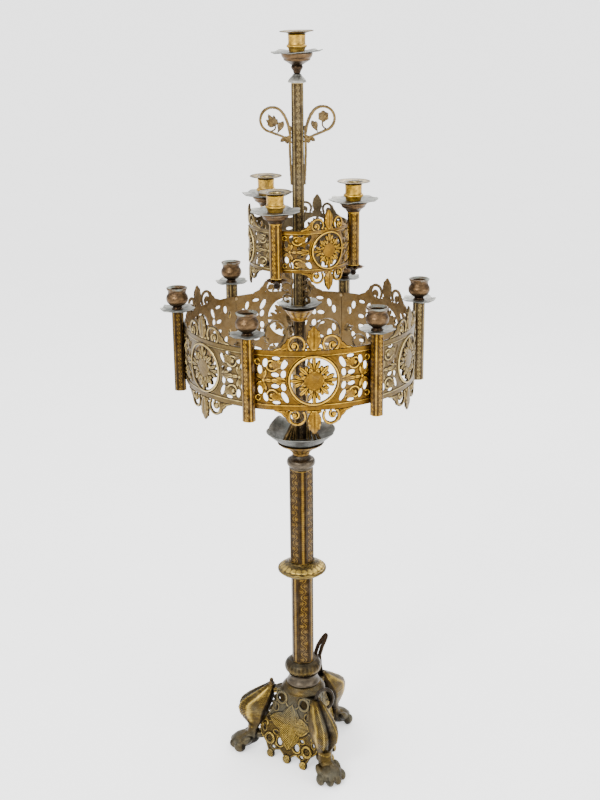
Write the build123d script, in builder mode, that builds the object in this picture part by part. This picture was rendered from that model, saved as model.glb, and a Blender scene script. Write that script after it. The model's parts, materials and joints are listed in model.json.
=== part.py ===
"""Votive candle rack: two pierced rings of candle lights around a column on a clawed base."""
from build123d import *
from math import cos, degrees, radians, sin
import os

os.makedirs("parts", exist_ok=True)

# Column stack, heights above the floor
CROWN_LOW, CROWN_TOP = 150, 166
KNOB_LOW, KNOB_TOP = 190, 218
COLLAR_LOW, COLLAR_TOP = 412, 442
NECK_LOW, NECK_TOP = 643, 672
DISH_LOW, DISH_FLOOR, DISH_RIM = 699, 706, 725
BELL_LOW, BELL_TOP = 946, 971
SMALL_FLOOR = 976
CAP_LOW, CAP_TOP = 1389, 1405
TOP_PAN_FLOOR = 1441

# Tubes: squares with cut corners
COLUMN, COLUMN_CUT, COLUMN_BORE = 43, 9.5, 34
STEM, STEM_CUT = 22, 5.5
ROD, ROD_HOLE = 8, 9
ROD_LOW = 132
FLANGE, NUT = 3, 8

# The two rings of lights
RING_TURN = 6.5
LOWER_RADIUS, LOWER_COUNT = 231, 6
UPPER_RADIUS, UPPER_COUNT = 103.4, 3
LOWER_TUBE_LOW, LOWER_PAN_FLOOR = 818, 975
FINIAL_LOW, UPPER_TUBE_LOW, UPPER_TUBE_TOP, UPPER_PAN_FLOOR = 1030, 1050, 1151, 1170
LOWER_BAND_LOW, LOWER_BAND_TOP = 838, 949
UPPER_BAND_LOW, UPPER_BAND_TOP = 1058, 1136
PLATE = 3
SEAM = 0.6
SCREW, SCREW_HEAD, HEAD_HEIGHT, SCREW_DEPTH = 3, 6.5, 2, 4

# Candle lights
PAN_SHEET = 1.6
LOWER_PAN_RADIUS, UPPER_PAN_RADIUS = 33, 47
CUP_BORE, CUP_DEPTH, CUP_HEIGHT = 12.5, 30, 42
SOCKET_BORE, SOCKET_HEIGHT, SOCKET_FLOOR = 13.5, 31, 5
NOZZLE_OUTER, NOZZLE_BORE, NOZZLE_FLANGE = 13.1, 12, 31
NOZZLE_STEP = 6.4

# Clawed base
LEG_TURN, LEG_COUNT = 54, 3
LEG_HALF, WING_HALF, LUG_HALF = 16, 26, 10
LUG_UNDERSIDE, LUG_SCREW_RADIUS = 138, 41
SIDE_TOP, SIDE_LOW, SIDE_PLATE = 38, 66, 6

LOWER_TUBE_ANGLES = [RING_TURN + 60 * k for k in range(LOWER_COUNT)]
LOWER_PANEL_ANGLES = [angle + 30 for angle in LOWER_TUBE_ANGLES]
UPPER_TUBE_ANGLES = [RING_TURN + 120 * k for k in range(UPPER_COUNT)]
UPPER_PANEL_ANGLES = [angle + 60 for angle in UPPER_TUBE_ANGLES]
ARM_ANGLES = [RING_TURN + 90 + 120 * k for k in range(3)]
LEG_ANGLES = [LEG_TURN + 120 * k for k in range(LEG_COUNT)]
SIDE_ANGLES = [angle + 60 for angle in LEG_ANGLES]


def save(piece, name):
    piece.part.label = name
    export_step(piece.part, f"parts/{name}.step")


def around(radius, angle, height=0.0):
    return (radius * cos(radians(angle)), radius * sin(radians(angle)), height)


def facing(angle):
    """Sketch plane across the radius at an angle: x runs along the ring, y runs up."""
    return Plane(origin=(0, 0, 0), x_dir=around(1, angle + 90), z_dir=around(1, angle))


def cutting(angle):
    """Sketch plane holding the column axis: x runs outward at an angle, y runs up."""
    return Plane(origin=(0, 0, 0), x_dir=around(1, angle), z_dir=around(1, angle - 90))


def turned(profile):
    """A turned piece on the column axis from its (radius, height) outline."""
    with BuildPart() as piece:
        with BuildSketch(Plane.XZ):
            with BuildLine():
                Polyline(*profile, close=True)
            make_face()
        revolve(axis=Axis.Z)
    return piece


def placed(piece, radius, angles):
    """Equal solids in one node, each moved out from the axis and turned to face it."""
    with BuildPart() as group:
        with Locations(*[Location(around(radius, angle), (0, 0, angle)) for angle in angles]):
            add(piece.part)
    return group


def square_tube(low, high, side, cut, bore, turn=0.0):
    """A tube with cut corners on the column axis."""
    with BuildPart() as tube:
        with BuildSketch(Plane.XY.offset(low)):
            Rectangle(side, side, rotation=turn)
            chamfer(vertices(), cut)
            Circle(bore / 2, mode=Mode.SUBTRACT)
        extrude(amount=high - low)
    return tube


def wavy_pan(radius, floor, rim, sheet, hole, lobes=8, wave=0.05):
    """A dished pan whose edge runs in shallow lobes."""
    with BuildPart() as pan:
        with BuildSketch(Plane.XZ):
            with BuildLine():
                inner = radius * 0.42
                Polyline((hole, floor), (inner, floor), (radius, rim), (radius, rim + sheet),
                         (inner, floor + sheet), (hole, floor + sheet), close=True)
            make_face()
        revolve(axis=Axis.Z)
        with BuildSketch(Plane.XY.offset(floor)):
            Circle(radius * 2)
            with BuildLine():
                edge = [around(radius * (1 - wave + wave * cos(radians(lobes * a))), a)[:2]
                        for a in range(0, 360, 9)]
                Spline(*edge, periodic=True)
            make_face(mode=Mode.SUBTRACT)
        extrude(amount=rim - floor + 2 * sheet, mode=Mode.SUBTRACT)
    return pan


# ---------------------------------------------------------------- column stack
def ring_profile(low, high, radii, bore=ROD_HOLE / 2):
    """Evenly spaced outline from low to high through the listed radii."""
    step = (high - low) / (len(radii) - 1)
    outer = [(radius, low + step * i) for i, radius in enumerate(radii)]
    return [(bore, low)] + outer + [(bore, high)]


base_crown = turned(ring_profile(CROWN_LOW, CROWN_TOP, [45, 42, 38, 35]))
save(base_crown, "base_crown")

base_collar = turned(ring_profile(CROWN_TOP, KNOB_LOW, [34, 34, 30, 28.5, 30]))
save(base_collar, "base_collar")

base_knob = turned(ring_profile(KNOB_LOW, KNOB_TOP, [30, 35, 37.6, 37.2, 34, 27]))
save(base_knob, "base_knob")

lower_column = square_tube(KNOB_TOP, COLLAR_LOW, COLUMN, COLUMN_CUT, COLUMN_BORE, turn=RING_TURN)
save(lower_column, "lower_column")

collar_disc = turned([(ROD_HOLE / 2, 412), (30, 412), (36, 417), (43, 419), (44, 422), (49, 423),
                      (49.5, 426), (48, 429), (43, 430), (42, 433), (38, 434), (27, 442),
                      (ROD_HOLE / 2, 442)])
save(collar_disc, "collar_disc")

upper_column = square_tube(COLLAR_TOP, NECK_LOW, COLUMN, COLUMN_CUT, COLUMN_BORE,
                           turn=RING_TURN + 45)
save(upper_column, "upper_column")

neck_ring = turned([(ROD_HOLE / 2, 643), (22.5, 643), (23, 648), (26, 650), (28, 654), (28.2, 658),
                    (26.5, 663), (22, 665), (17, 672), (ROD_HOLE / 2, 672)])
save(neck_ring, "neck_ring")

dish_bell = turned([(ROD_HOLE / 2, 672), (17, 672), (17.5, 676), (23, 683), (33, 691), (44, 696),
                    (46, 699), (ROD_HOLE / 2, 699)])
save(dish_bell, "dish_bell")

with BuildPart() as lower_dish:
    with BuildSketch(Plane.XZ):
        with BuildLine():
            Polyline((ROD_HOLE / 2, DISH_LOW), (46, DISH_LOW), (60, 708), (69, DISH_RIM - 2),
                     (69, DISH_RIM), (67, DISH_RIM), (57, 711), (44, DISH_FLOOR),
                     (ROD_HOLE / 2, DISH_FLOOR), close=True)
        make_face()
    revolve(axis=Axis.Z)
save(lower_dish, "lower_dish")

middle_stem = square_tube(DISH_FLOOR, BELL_LOW, STEM, STEM_CUT, ROD_HOLE, turn=RING_TURN)
save(middle_stem, "middle_stem")

capital_bell = turned(ring_profile(BELL_LOW, BELL_TOP, [17, 17.5, 19, 22, 25, 26, 33]))
save(capital_bell, "capital_bell")

upper_dish = wavy_pan(43, BELL_TOP, BELL_TOP + 4, SMALL_FLOOR - BELL_TOP, ROD_HOLE / 2, wave=0.04)
save(upper_dish, "upper_dish")

top_stem = square_tube(SMALL_FLOOR, CAP_LOW, STEM, STEM_CUT, ROD_HOLE, turn=RING_TURN)
save(top_stem, "top_stem")

top_cap = turned([(ROD_HOLE / 2, CAP_LOW), (16.5, CAP_LOW), (16.5, 1392), (9, 1400), (7, CAP_TOP),
                  (ROD_HOLE / 2, CAP_TOP)])
save(top_cap, "top_cap")

top_bowl = turned([(ROD_HOLE / 2, CAP_TOP), (6.5, CAP_TOP), (7, 1409), (11, 1416), (9.5, 1420),
                   (17, 1424), (24.5, 1429), (25.5, 1432), (28, 1436), (28.5, TOP_PAN_FLOOR),
                   (ROD_HOLE / 2, TOP_PAN_FLOOR)])
save(top_bowl, "top_bowl")

top_drip_pan = wavy_pan(UPPER_PAN_RADIUS, TOP_PAN_FLOOR, TOP_PAN_FLOOR + 2, PAN_SHEET, ROD_HOLE / 2)
save(top_drip_pan, "top_drip_pan")


# ---------------------------------------------------------------- candle lights
def socket(floor, threaded=0.0):
    """The cup of an upper light: tapered foot, bead and cylinder, open at the top."""
    top = floor + SOCKET_HEIGHT
    well = floor + SOCKET_FLOOR
    foot = [(0, floor + 3), (threaded, floor + 3), (threaded, floor)] if threaded else [(0, floor)]
    return turned(foot + [(13.8, floor), (15.5, floor + 6), (18.3, floor + 9), (18.3, floor + 12),
                          (15.8, floor + 14), (15.8, top), (SOCKET_BORE, top),
                          (SOCKET_BORE, well), (0, well)])


def nozzle(floor):
    """The lift-out candle tube with its flared rim, resting on the cup's edge."""
    low = floor + SOCKET_FLOOR + 1
    seat = floor + SOCKET_HEIGHT
    rim = seat + NOZZLE_STEP
    return turned([(0, low), (NOZZLE_OUTER, low), (NOZZLE_OUTER, seat), (15.6, seat),
                   (16.5, seat + 1.5), (22, seat + 3.5), (NOZZLE_FLANGE, rim - 1.2),
                   (NOZZLE_FLANGE, rim), (17, rim - 1), (NOZZLE_BORE, rim - 3),
                   (NOZZLE_BORE, low + 2), (0, low + 2)])


top_socket = TOP_PAN_FLOOR + PAN_SHEET
top_cup = socket(top_socket, threaded=ROD / 2)
save(top_cup, "top_cup")

top_nozzle = nozzle(top_socket)
save(top_nozzle, "top_nozzle")

upper_socket = UPPER_PAN_FLOOR + PAN_SHEET
upper_cups = placed(socket(upper_socket), UPPER_RADIUS, UPPER_TUBE_ANGLES)
save(upper_cups, "upper_cups")

upper_nozzle_master = nozzle(upper_socket)
for number, angle in enumerate(UPPER_TUBE_ANGLES, start=1):
    upper_nozzle = placed(upper_nozzle_master, UPPER_RADIUS, [angle])
    save(upper_nozzle, f"upper_nozzle_{number}")

upper_pan_master = wavy_pan(UPPER_PAN_RADIUS, UPPER_PAN_FLOOR, UPPER_PAN_FLOOR + 4, PAN_SHEET, 0)
upper_pans = placed(upper_pan_master, UPPER_RADIUS, UPPER_TUBE_ANGLES)
save(upper_pans, "upper_pans")

bowl = turned([(0, UPPER_TUBE_TOP), (13, UPPER_TUBE_TOP), (14, 1154), (20, 1159), (22, 1160),
               (23, 1164), (26, 1166), (26, UPPER_PAN_FLOOR), (0, UPPER_PAN_FLOOR)])
upper_bowls = placed(bowl, UPPER_RADIUS, UPPER_TUBE_ANGLES)
save(upper_bowls, "upper_bowls")

finial = turned([(0, FINIAL_LOW), (4, 1031), (6, 1035), (5, 1038), (10, 1042), (17, 1049),
                 (17, UPPER_TUBE_LOW), (0, UPPER_TUBE_LOW)])
upper_finials = placed(finial, UPPER_RADIUS, UPPER_TUBE_ANGLES)
save(upper_finials, "upper_finials")

lower_socket = LOWER_PAN_FLOOR + PAN_SHEET
cup_well, cup_top = lower_socket + CUP_HEIGHT - CUP_DEPTH, lower_socket + CUP_HEIGHT
urn = turned([(0, lower_socket), (11, lower_socket), (11, lower_socket + 2),
              (8.5, lower_socket + 4.5), (9.5, lower_socket + 7), (15, lower_socket + 10),
              (19.6, lower_socket + 15), (21, lower_socket + 21), (19.8, lower_socket + 27),
              (17.5, lower_socket + 32), (17.3, lower_socket + 36), (19, cup_top - 1.5),
              (19, cup_top), (16.5, cup_top), (CUP_BORE, cup_top - 4), (CUP_BORE, cup_well),
              (0, cup_well)])
lower_cups = placed(urn, LOWER_RADIUS, LOWER_TUBE_ANGLES)
save(lower_cups, "lower_cups")

lower_pan_master = wavy_pan(LOWER_PAN_RADIUS, LOWER_PAN_FLOOR, LOWER_PAN_FLOOR + 3, PAN_SHEET, 0)
lower_pans = placed(lower_pan_master, LOWER_RADIUS, LOWER_TUBE_ANGLES)
save(lower_pans, "lower_pans")


# ---------------------------------------------------------------- rings
def light_tube(low, high, screw_heights):
    """One upright of a ring, on the axis, with its flat and screw holes towards -x."""
    with BuildPart() as tube:
        add(square_tube(low, high, STEM, STEM_CUT, STEM * 0.6).part)
        inner_face = Plane(origin=(-STEM / 2, 0, 0), x_dir=(0, 1, 0), z_dir=(1, 0, 0))
        with BuildSketch(inner_face):
            with Locations(*[(0, height) for height in screw_heights]):
                Circle(SCREW / 2)
        extrude(amount=SCREW_DEPTH, mode=Mode.SUBTRACT)
    return tube


def crest(edge, way, spread, reach):
    """Two C-scrolls beside a fleur, growing up (way 1) or down (way -1) from a band edge."""
    scroll = spread * 0.5
    with Locations((-spread, edge + way * scroll * 0.85), (spread, edge + way * scroll * 0.85)):
        Circle(scroll)
    for side in (-1, 1):
        Polygon((side * spread * 2.15, edge), (side * spread * 1.3, edge + way * scroll * 1.5),
                (side * spread * 0.6, edge), align=None)
    with Locations((0, edge + way * reach * 0.58)):
        Ellipse(spread * 0.37, reach * 0.42)
    with Locations((0, edge + way * reach * 0.2)):
        Rectangle(spread * 0.3, reach * 0.5)
    with Locations((-spread, edge + way * scroll * 0.85), (spread, edge + way * scroll * 0.85)):
        Circle(scroll * 0.6, mode=Mode.SUBTRACT)


def ring_panel(radius, half_angle, low, top, spread, reach, screw_heights, openings):
    """A curved plate of one ring, facing +x, with crest, drop and pierced openings."""
    seam = half_angle - degrees(SEAM / 2 / radius)
    with BuildPart() as panel:
        with BuildSketch(Plane.XY.offset(low - reach)):
            Circle(radius)
            Circle(radius - PLATE, mode=Mode.SUBTRACT)
            Polygon((0, 0), around(2 * radius, -seam)[:2], around(2.5 * radius, 0)[:2],
                    around(2 * radius, seam)[:2], align=None, mode=Mode.INTERSECT)
        extrude(amount=top - low + 2 * reach)
        with BuildSketch(facing(0)):
            with Locations((0, (low + top) / 2)):
                Rectangle(2.2 * radius, top - low)
            crest(top, 1, spread, reach)
            crest(low, -1, spread, reach)
        extrude(amount=radius + 1, mode=Mode.INTERSECT)
        for along, height, wide, tall, lean in openings:
            with BuildSketch(facing(degrees(along / radius))):
                with Locations((0, (low + top) / 2 + height)):
                    Ellipse(wide / 2, tall / 2, rotation=lean)
            extrude(amount=radius + 1, mode=Mode.SUBTRACT)
        for side in (-1, 1):
            with BuildSketch(facing(side * half_angle)):
                with Locations(*[(0, height) for height in screw_heights]):
                    Circle(SCREW / 2)
            extrude(amount=radius + 1, mode=Mode.SUBTRACT)
    return panel


def star_openings(size):
    """Eight openings between the lobes of a star flower inside a ring of the given radius."""
    return [(size * 0.66 * cos(radians(a)), size * 0.66 * sin(radians(a)),
             size * 0.42, size * 0.24, a) for a in [22.5 + 45 * k for k in range(8)]]


def mirrored(openings):
    """The openings of one quarter repeated in all four quarters of a panel."""
    return [(sx * along, sy * height, wide, tall, sx * sy * lean)
            for along, height, wide, tall, lean in openings for sx in (-1, 1) for sy in (-1, 1)]


def ring_screws(radius, angles, heights):
    """Pan-head screws through the panel seams into the uprights."""
    inner = radius - STEM / 2 - PLATE - 0.1
    with BuildPart() as screws:
        for angle in angles:
            with BuildSketch(facing(angle).offset(inner)):
                with Locations(*[(0, height) for height in heights]):
                    Circle(SCREW_HEAD / 2)
            extrude(amount=-HEAD_HEIGHT)
            with BuildSketch(facing(angle).offset(inner)):
                with Locations(*[(0, height) for height in heights]):
                    Circle(SCREW / 2)
            extrude(amount=PLATE + SCREW_DEPTH)
    return screws


LOWER_SCREW_HEIGHTS = (LOWER_BAND_LOW + 5, LOWER_BAND_TOP - 5)
UPPER_SCREW_HEIGHTS = (UPPER_BAND_LOW + 4, UPPER_BAND_TOP - 4)

lower_tubes = placed(light_tube(LOWER_TUBE_LOW, LOWER_PAN_FLOOR, LOWER_SCREW_HEIGHTS),
                     LOWER_RADIUS, LOWER_TUBE_ANGLES)
save(lower_tubes, "lower_tubes")

upper_tubes = placed(light_tube(UPPER_TUBE_LOW, UPPER_TUBE_TOP, UPPER_SCREW_HEIGHTS),
                     UPPER_RADIUS, UPPER_TUBE_ANGLES)
save(upper_tubes, "upper_tubes")

lower_corner = [(57, 33, 20, 9, 50), (62, 12, 16, 7, 20), (82, 33, 12, 16, 0),
                (84, 10, 12, 8, -30), (99, 24, 6, 12, 0), (97, 6, 6, 6, 0)]
lower_panel_master = ring_panel(LOWER_RADIUS - STEM / 2, 30, LOWER_BAND_LOW, LOWER_BAND_TOP, 33, 45,
                                LOWER_SCREW_HEIGHTS, star_openings(42) + mirrored(lower_corner))
for number, angle in enumerate(LOWER_PANEL_ANGLES, start=1):
    lower_panel = placed(lower_panel_master, 0, [angle])
    save(lower_panel, f"lower_panel_{number}")

upper_corner = [(41, 24, 15, 8, 50), (44, 8, 12, 7, 20), (60, 22, 10, 12, 0),
                (62, 6, 9, 6, -30), (76, 20, 6, 10, 0), (77, 5, 6, 5, 0)]
upper_panel_master = ring_panel(UPPER_RADIUS - STEM / 2, 60, UPPER_BAND_LOW, UPPER_BAND_TOP, 24, 36,
                                UPPER_SCREW_HEIGHTS, star_openings(29) + mirrored(upper_corner))
for number, angle in enumerate(UPPER_PANEL_ANGLES, start=1):
    upper_panel = placed(upper_panel_master, 0, [angle])
    save(upper_panel, f"upper_panel_{number}")

lower_ring_screws = ring_screws(LOWER_RADIUS, LOWER_TUBE_ANGLES, LOWER_SCREW_HEIGHTS)
save(lower_ring_screws, "lower_ring_screws")

upper_ring_screws = ring_screws(UPPER_RADIUS, UPPER_TUBE_ANGLES, UPPER_SCREW_HEIGHTS)
save(upper_ring_screws, "upper_ring_screws")


# ---------------------------------------------------------------- scroll brackets
def curl(radius, height, size, bar):
    """One closed curl of a bracket, as a flat ring in the bracket's plane."""
    with Locations((radius, height)):
        Circle(size + bar / 2)
        Circle(size - bar / 2, mode=Mode.SUBTRACT)


def ring_arm(strap, floor, shoulder, foot, route, curls, bar, width):
    """A bracket that stands in a dish beside the stem and reaches out to a ring panel."""
    with BuildPart() as arm:
        with BuildSketch(cutting(0)):
            for radius, height, size in curls:
                curl(radius, height, size, bar)
            with BuildLine():
                Spline(*route)
            trace(line_width=bar)
            with Locations((strap, (floor + shoulder) / 2)):
                Rectangle(bar, shoulder - floor)
            Polygon((strap, floor), (strap + foot, floor), (strap, floor + 2 * foot), align=None)
        extrude(amount=width / 2, both=True)
    return arm


lower_reach = LOWER_RADIUS - STEM / 2 - PLATE - 0.1
lower_middle = (LOWER_BAND_LOW + LOWER_BAND_TOP) / 2
lower_arm_master = ring_arm(14.5, DISH_FLOOR, 852, 11,
                            [(14.5, 850), (26, 880), (61, 899), (122, 901), (170, 890),
                             (lower_reach, lower_middle)],
                            [(61, 929, 30), (122, 917, 16)], 3.5, 8)
for number, angle in enumerate(ARM_ANGLES, start=1):
    lower_arm = placed(lower_arm_master, 0, [angle])
    save(lower_arm, f"lower_arm_{number}")

upper_reach = UPPER_RADIUS - STEM / 2 - PLATE - 0.1
upper_middle = (UPPER_BAND_LOW + UPPER_BAND_TOP) / 2
upper_arm_master = ring_arm(14.2, SMALL_FLOOR, 1052, 3.5,
                            [(14.2, 1050), (28, 1080), (55, 1092), (upper_reach, upper_middle)],
                            [(25, 1010, 9.5), (50, 1104, 12)], 3, 7)
for number, angle in enumerate(UPPER_PANEL_ANGLES, start=1):
    upper_arm = placed(upper_arm_master, 0, [angle])
    save(upper_arm, f"upper_arm_{number}")

with BuildPart() as scroll_master:
    with BuildSketch(cutting(0)):
        curl(47, 1325, 22, 3.4)
        with BuildLine():
            Spline((13, 1292), (21, 1316), (32, 1341))
        trace(line_width=3.4)
        with BuildLine():
            Polyline((13, 1289), (38, 1305))
        trace(line_width=3)
        with BuildLine():
            Polyline((52, 1303), (49, 1320))
        trace(line_width=2.5)
        with Locations((46, 1326)):
            Ellipse(6.5, 10)
        with Locations((20, 1292)):
            Ellipse(5, 7)
        with Locations((12.5, (1206 + 1294) / 2)):
            Rectangle(3, 1294 - 1206)
    extrude(amount=3.5, both=True)

for name, angle in (("right", RING_TURN), ("left", RING_TURN + 180)):
    top_scroll = placed(scroll_master, 0, [angle])
    save(top_scroll, f"top_scroll_{name}")

# ---------------------------------------------------------------- tie rod
with BuildPart() as tie_rod:
    with BuildSketch(Plane.XY.offset(ROD_LOW)):
        Circle(ROD / 2)
    extrude(amount=top_socket + 3 - ROD_LOW)
save(tie_rod, "tie_rod")

with BuildPart() as tie_rod_nut:
    with BuildSketch(Plane.XY.offset(CROWN_LOW - FLANGE - NUT)):
        RegularPolygon(7.5, 6)
    extrude(amount=NUT)
    with BuildSketch(Plane.XY.offset(CROWN_LOW - FLANGE)):
        Circle(14)
    extrude(amount=FLANGE)
    with BuildSketch(Plane.XY.offset(ROD_LOW)):
        Circle(ROD / 2)
    extrude(amount=CROWN_LOW - ROD_LOW, mode=Mode.SUBTRACT)
save(tie_rod_nut, "tie_rod_nut")

# ---------------------------------------------------------------- base
SIDE_FOOT = 4
SIDE_RISE = CROWN_LOW - SIDE_FOOT
side_lean = (SIDE_LOW - SIDE_TOP) / (SIDE_RISE ** 2 + (SIDE_LOW - SIDE_TOP) ** 2) ** 0.5
side_upright = (1 - side_lean ** 2) ** 0.5

with BuildPart() as side_master:
    slope = Plane(origin=(SIDE_LOW, 0, SIDE_FOOT), x_dir=(0, 1, 0),
                  z_dir=(side_upright, 0, side_lean))
    half = [(44, 150), (43, 122), (53, 98), (69, 72), (76, 54), (72, 38), (58, 26), (51, 12),
            (46, 2), (38, 2), (32, 14), (20, 18), (10, 10), (6, 0)]
    with BuildSketch(slope):
        Polygon(*half, *[(-x, y) for x, y in reversed(half)], align=None)
        with Locations((42, 5), (-42, 5), (0, 4)):
            Circle(8)
        with Locations((28, 137), (-28, 137)):
            Circle(9, mode=Mode.SUBTRACT)
        with Locations((40, 108), (-40, 108), (54, 80), (-54, 80)):
            Circle(5, mode=Mode.SUBTRACT)
        with Locations((48, 36), (-48, 36)):
            Circle(6, mode=Mode.SUBTRACT)
        with Locations((22, 36), (-22, 36)):
            Ellipse(6, 8, mode=Mode.SUBTRACT)
    extrude(amount=-SIDE_PLATE)
    corner = LUG_HALF / sin(radians(60))
    with BuildSketch(Plane.XY):
        Polygon((corner, 0), (corner + 150, -150 * 3 ** 0.5), (corner + 300, 0),
                (corner + 150, 150 * 3 ** 0.5), align=None)
    extrude(amount=CROWN_LOW, mode=Mode.INTERSECT)
for number, angle in enumerate(SIDE_ANGLES, start=1):
    base_panel = placed(side_master, 0, [angle])
    save(base_panel, f"base_panel_{number}")

with BuildPart() as leg_master:
    with BuildSketch(cutting(0)):
        with BuildLine():
            Polyline((76, 156), (60, 156), (59, 142), (62, 124), (73, 101), (84, 82))
            Spline((84, 82), (96, 66), (104, 56))
            Polyline((104, 56), (98, 34), (106, 10), (150, 6), (155, 26), (140, 36), (120, 42))
            Spline((120, 42), (119, 58), (130, 80), (140, 99), (136, 113), (111, 126), (85, 140),
                   (76, 156))
        make_face()
    extrude(amount=LEG_HALF, both=True)
    with BuildSketch(cutting(0)):
        with BuildLine():
            Polyline((88, 84), (104, 66), (112, 66))
            Spline((112, 66), (122, 76), (133, 94), (130, 109), (108, 122), (84, 134))
            Polyline((84, 134), (72, 130), (74, 108), (88, 84))
        make_face()
    extrude(amount=WING_HALF, both=True)
    with BuildSketch(cutting(0)):
        Polygon((36, CROWN_LOW), (62, CROWN_LOW), (62, LUG_UNDERSIDE), (36, LUG_UNDERSIDE), align=None)
        Polygon((76, 70), (92, 70), (104, 56), (104, 48), (76, 50), align=None)
    extrude(amount=LUG_HALF, both=True)
    with Locations((146, -8, 10), (146, 8, 10), (134, -19, 10), (134, 19, 10)):
        Sphere(11)
    split(bisect_by=Plane.XY, keep=Keep.TOP)
    with BuildSketch(Plane.XY.offset(LUG_UNDERSIDE)):
        with Locations((LUG_SCREW_RADIUS, 0)):
            Circle(SCREW / 2)
    extrude(amount=CROWN_LOW - LUG_UNDERSIDE, mode=Mode.SUBTRACT)
legs = [placed(leg_master, 0, [angle]) for angle in LEG_ANGLES]
for number, leg in enumerate(legs, start=1):
    save(leg, f"leg_{number}")

with BuildPart() as base_screws:
    for angle in LEG_ANGLES:
        with BuildSketch(Plane.XY.offset(LUG_UNDERSIDE - 4)):
            with Locations(around(LUG_SCREW_RADIUS, angle)[:2]):
                Circle(SCREW)
        extrude(amount=4)
        with BuildSketch(Plane.XY.offset(LUG_UNDERSIDE - 4)):
            with Locations(around(LUG_SCREW_RADIUS, angle)[:2]):
                Circle(SCREW / 2)
        extrude(amount=CROWN_LOW - LUG_UNDERSIDE + 4)
save(base_screws, "base_screws")

LEG_TOP = 156
front_angle, back_angle = LEG_ANGLES[2], LEG_ANGLES[0]

with BuildPart() as leg_loop_front:
    with BuildSketch(facing(front_angle).offset(63)):
        with Locations(Location((18, LEG_TOP - 4), (0, 0, 15))):
            Ellipse(21, 26)
            Ellipse(15.5, 20.5, mode=Mode.SUBTRACT)
    extrude(amount=6)
    add(legs[2].part, mode=Mode.SUBTRACT)
save(leg_loop_front, "leg_loop_front")

with BuildPart() as leg_loop_back:
    with BuildSketch(cutting(back_angle)):
        with BuildLine():
            Spline((67, LEG_TOP), (56, 175), (50, 200), (62, 220), (88, 236))
        trace(line_width=5)
        with Locations((66, LEG_TOP - 25)):
            Rectangle(60, 50, mode=Mode.SUBTRACT)
    extrude(amount=14, both=True)
    with BuildSketch(Plane.XY.offset(LEG_TOP)):
        with Locations(Location(around(72, back_angle), (0, 0, back_angle))):
            Ellipse(22, 9)
            Rectangle(8, 18)
    extrude(amount=100, mode=Mode.SUBTRACT)
save(leg_loop_back, "leg_loop_back")

with BuildPart() as leg_stub_left:
    with BuildSketch(Plane.XY.offset(LEG_TOP)):
        with Locations(*[Location(around(68, LEG_ANGLES[1] + side), (0, 0, LEG_ANGLES[1]))
                         for side in (-6, 6)]):
            Rectangle(8, 5)
    extrude(amount=7)
save(leg_stub_left, "leg_stub_left")
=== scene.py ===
"""Votive candle rack: cast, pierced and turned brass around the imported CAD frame."""
import json
import math

import bpy
import numpy as np
from mathutils import Matrix, Vector

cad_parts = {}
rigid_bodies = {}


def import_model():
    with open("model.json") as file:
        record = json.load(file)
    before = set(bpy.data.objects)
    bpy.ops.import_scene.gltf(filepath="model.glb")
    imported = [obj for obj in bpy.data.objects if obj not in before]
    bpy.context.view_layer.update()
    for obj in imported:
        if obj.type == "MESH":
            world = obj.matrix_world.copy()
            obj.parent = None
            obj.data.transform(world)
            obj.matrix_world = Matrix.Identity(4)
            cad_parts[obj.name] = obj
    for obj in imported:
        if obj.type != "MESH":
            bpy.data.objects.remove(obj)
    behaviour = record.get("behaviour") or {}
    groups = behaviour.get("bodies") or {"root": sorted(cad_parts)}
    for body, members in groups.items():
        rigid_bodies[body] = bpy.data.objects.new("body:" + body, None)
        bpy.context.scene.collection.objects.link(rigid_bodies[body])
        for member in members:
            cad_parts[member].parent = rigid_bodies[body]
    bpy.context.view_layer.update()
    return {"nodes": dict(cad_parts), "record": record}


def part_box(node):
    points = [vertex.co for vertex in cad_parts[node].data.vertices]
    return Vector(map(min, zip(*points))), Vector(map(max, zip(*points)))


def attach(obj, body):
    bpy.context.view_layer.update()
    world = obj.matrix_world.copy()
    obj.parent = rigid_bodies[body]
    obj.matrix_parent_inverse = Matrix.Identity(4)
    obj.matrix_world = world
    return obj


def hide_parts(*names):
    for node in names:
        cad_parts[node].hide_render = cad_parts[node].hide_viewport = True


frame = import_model()
MM = 0.001
MOUNTS = {m["name"]: m for m in frame["record"]["mounts"]}


def span(node):
    """Lowest and highest z of a CAD node, in mm."""
    low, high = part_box(node)
    return low.z / MM, high.z / MM


def polar_of(mount):
    """Radius in mm and angle in degrees of a mount around the column."""
    x, y, _ = MOUNTS[mount]["pos_m"]
    return math.hypot(x, y) / MM, math.degrees(math.atan2(y, x))


LOWER_RADIUS, RING_TURN = polar_of("lower_candle_bore_1")
UPPER_RADIUS = polar_of("upper_candle_bore_1")[0]
LOWER_ANGLES = [RING_TURN + 60 * k for k in range(6)]
UPPER_ANGLES = [RING_TURN + 120 * k for k in range(3)]
LEG_ANGLE = polar_of("floor_contact")[1] - math.degrees(math.asin(8 / polar_of("floor_contact")[0]))
STEM, STEM_CUT, COLUMN, COLUMN_CUT = 22, 5.5, 43, 9.5


# ---------------------------------------------------------------- small numeric noise
def ripple(a, b, seed=0.0):
    """Smooth, repeatable unevenness between about -1 and 1 from two coordinates."""
    return (np.sin(a * 1.7 + seed * 2.1) * np.cos(b * 1.3 - seed) + 0.6 * np.sin(a * 3.1 - b * 2.3 + seed)
            + 0.4 * np.cos(a * 5.3 + b * 4.7 + 2 * seed)) / 2


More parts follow.
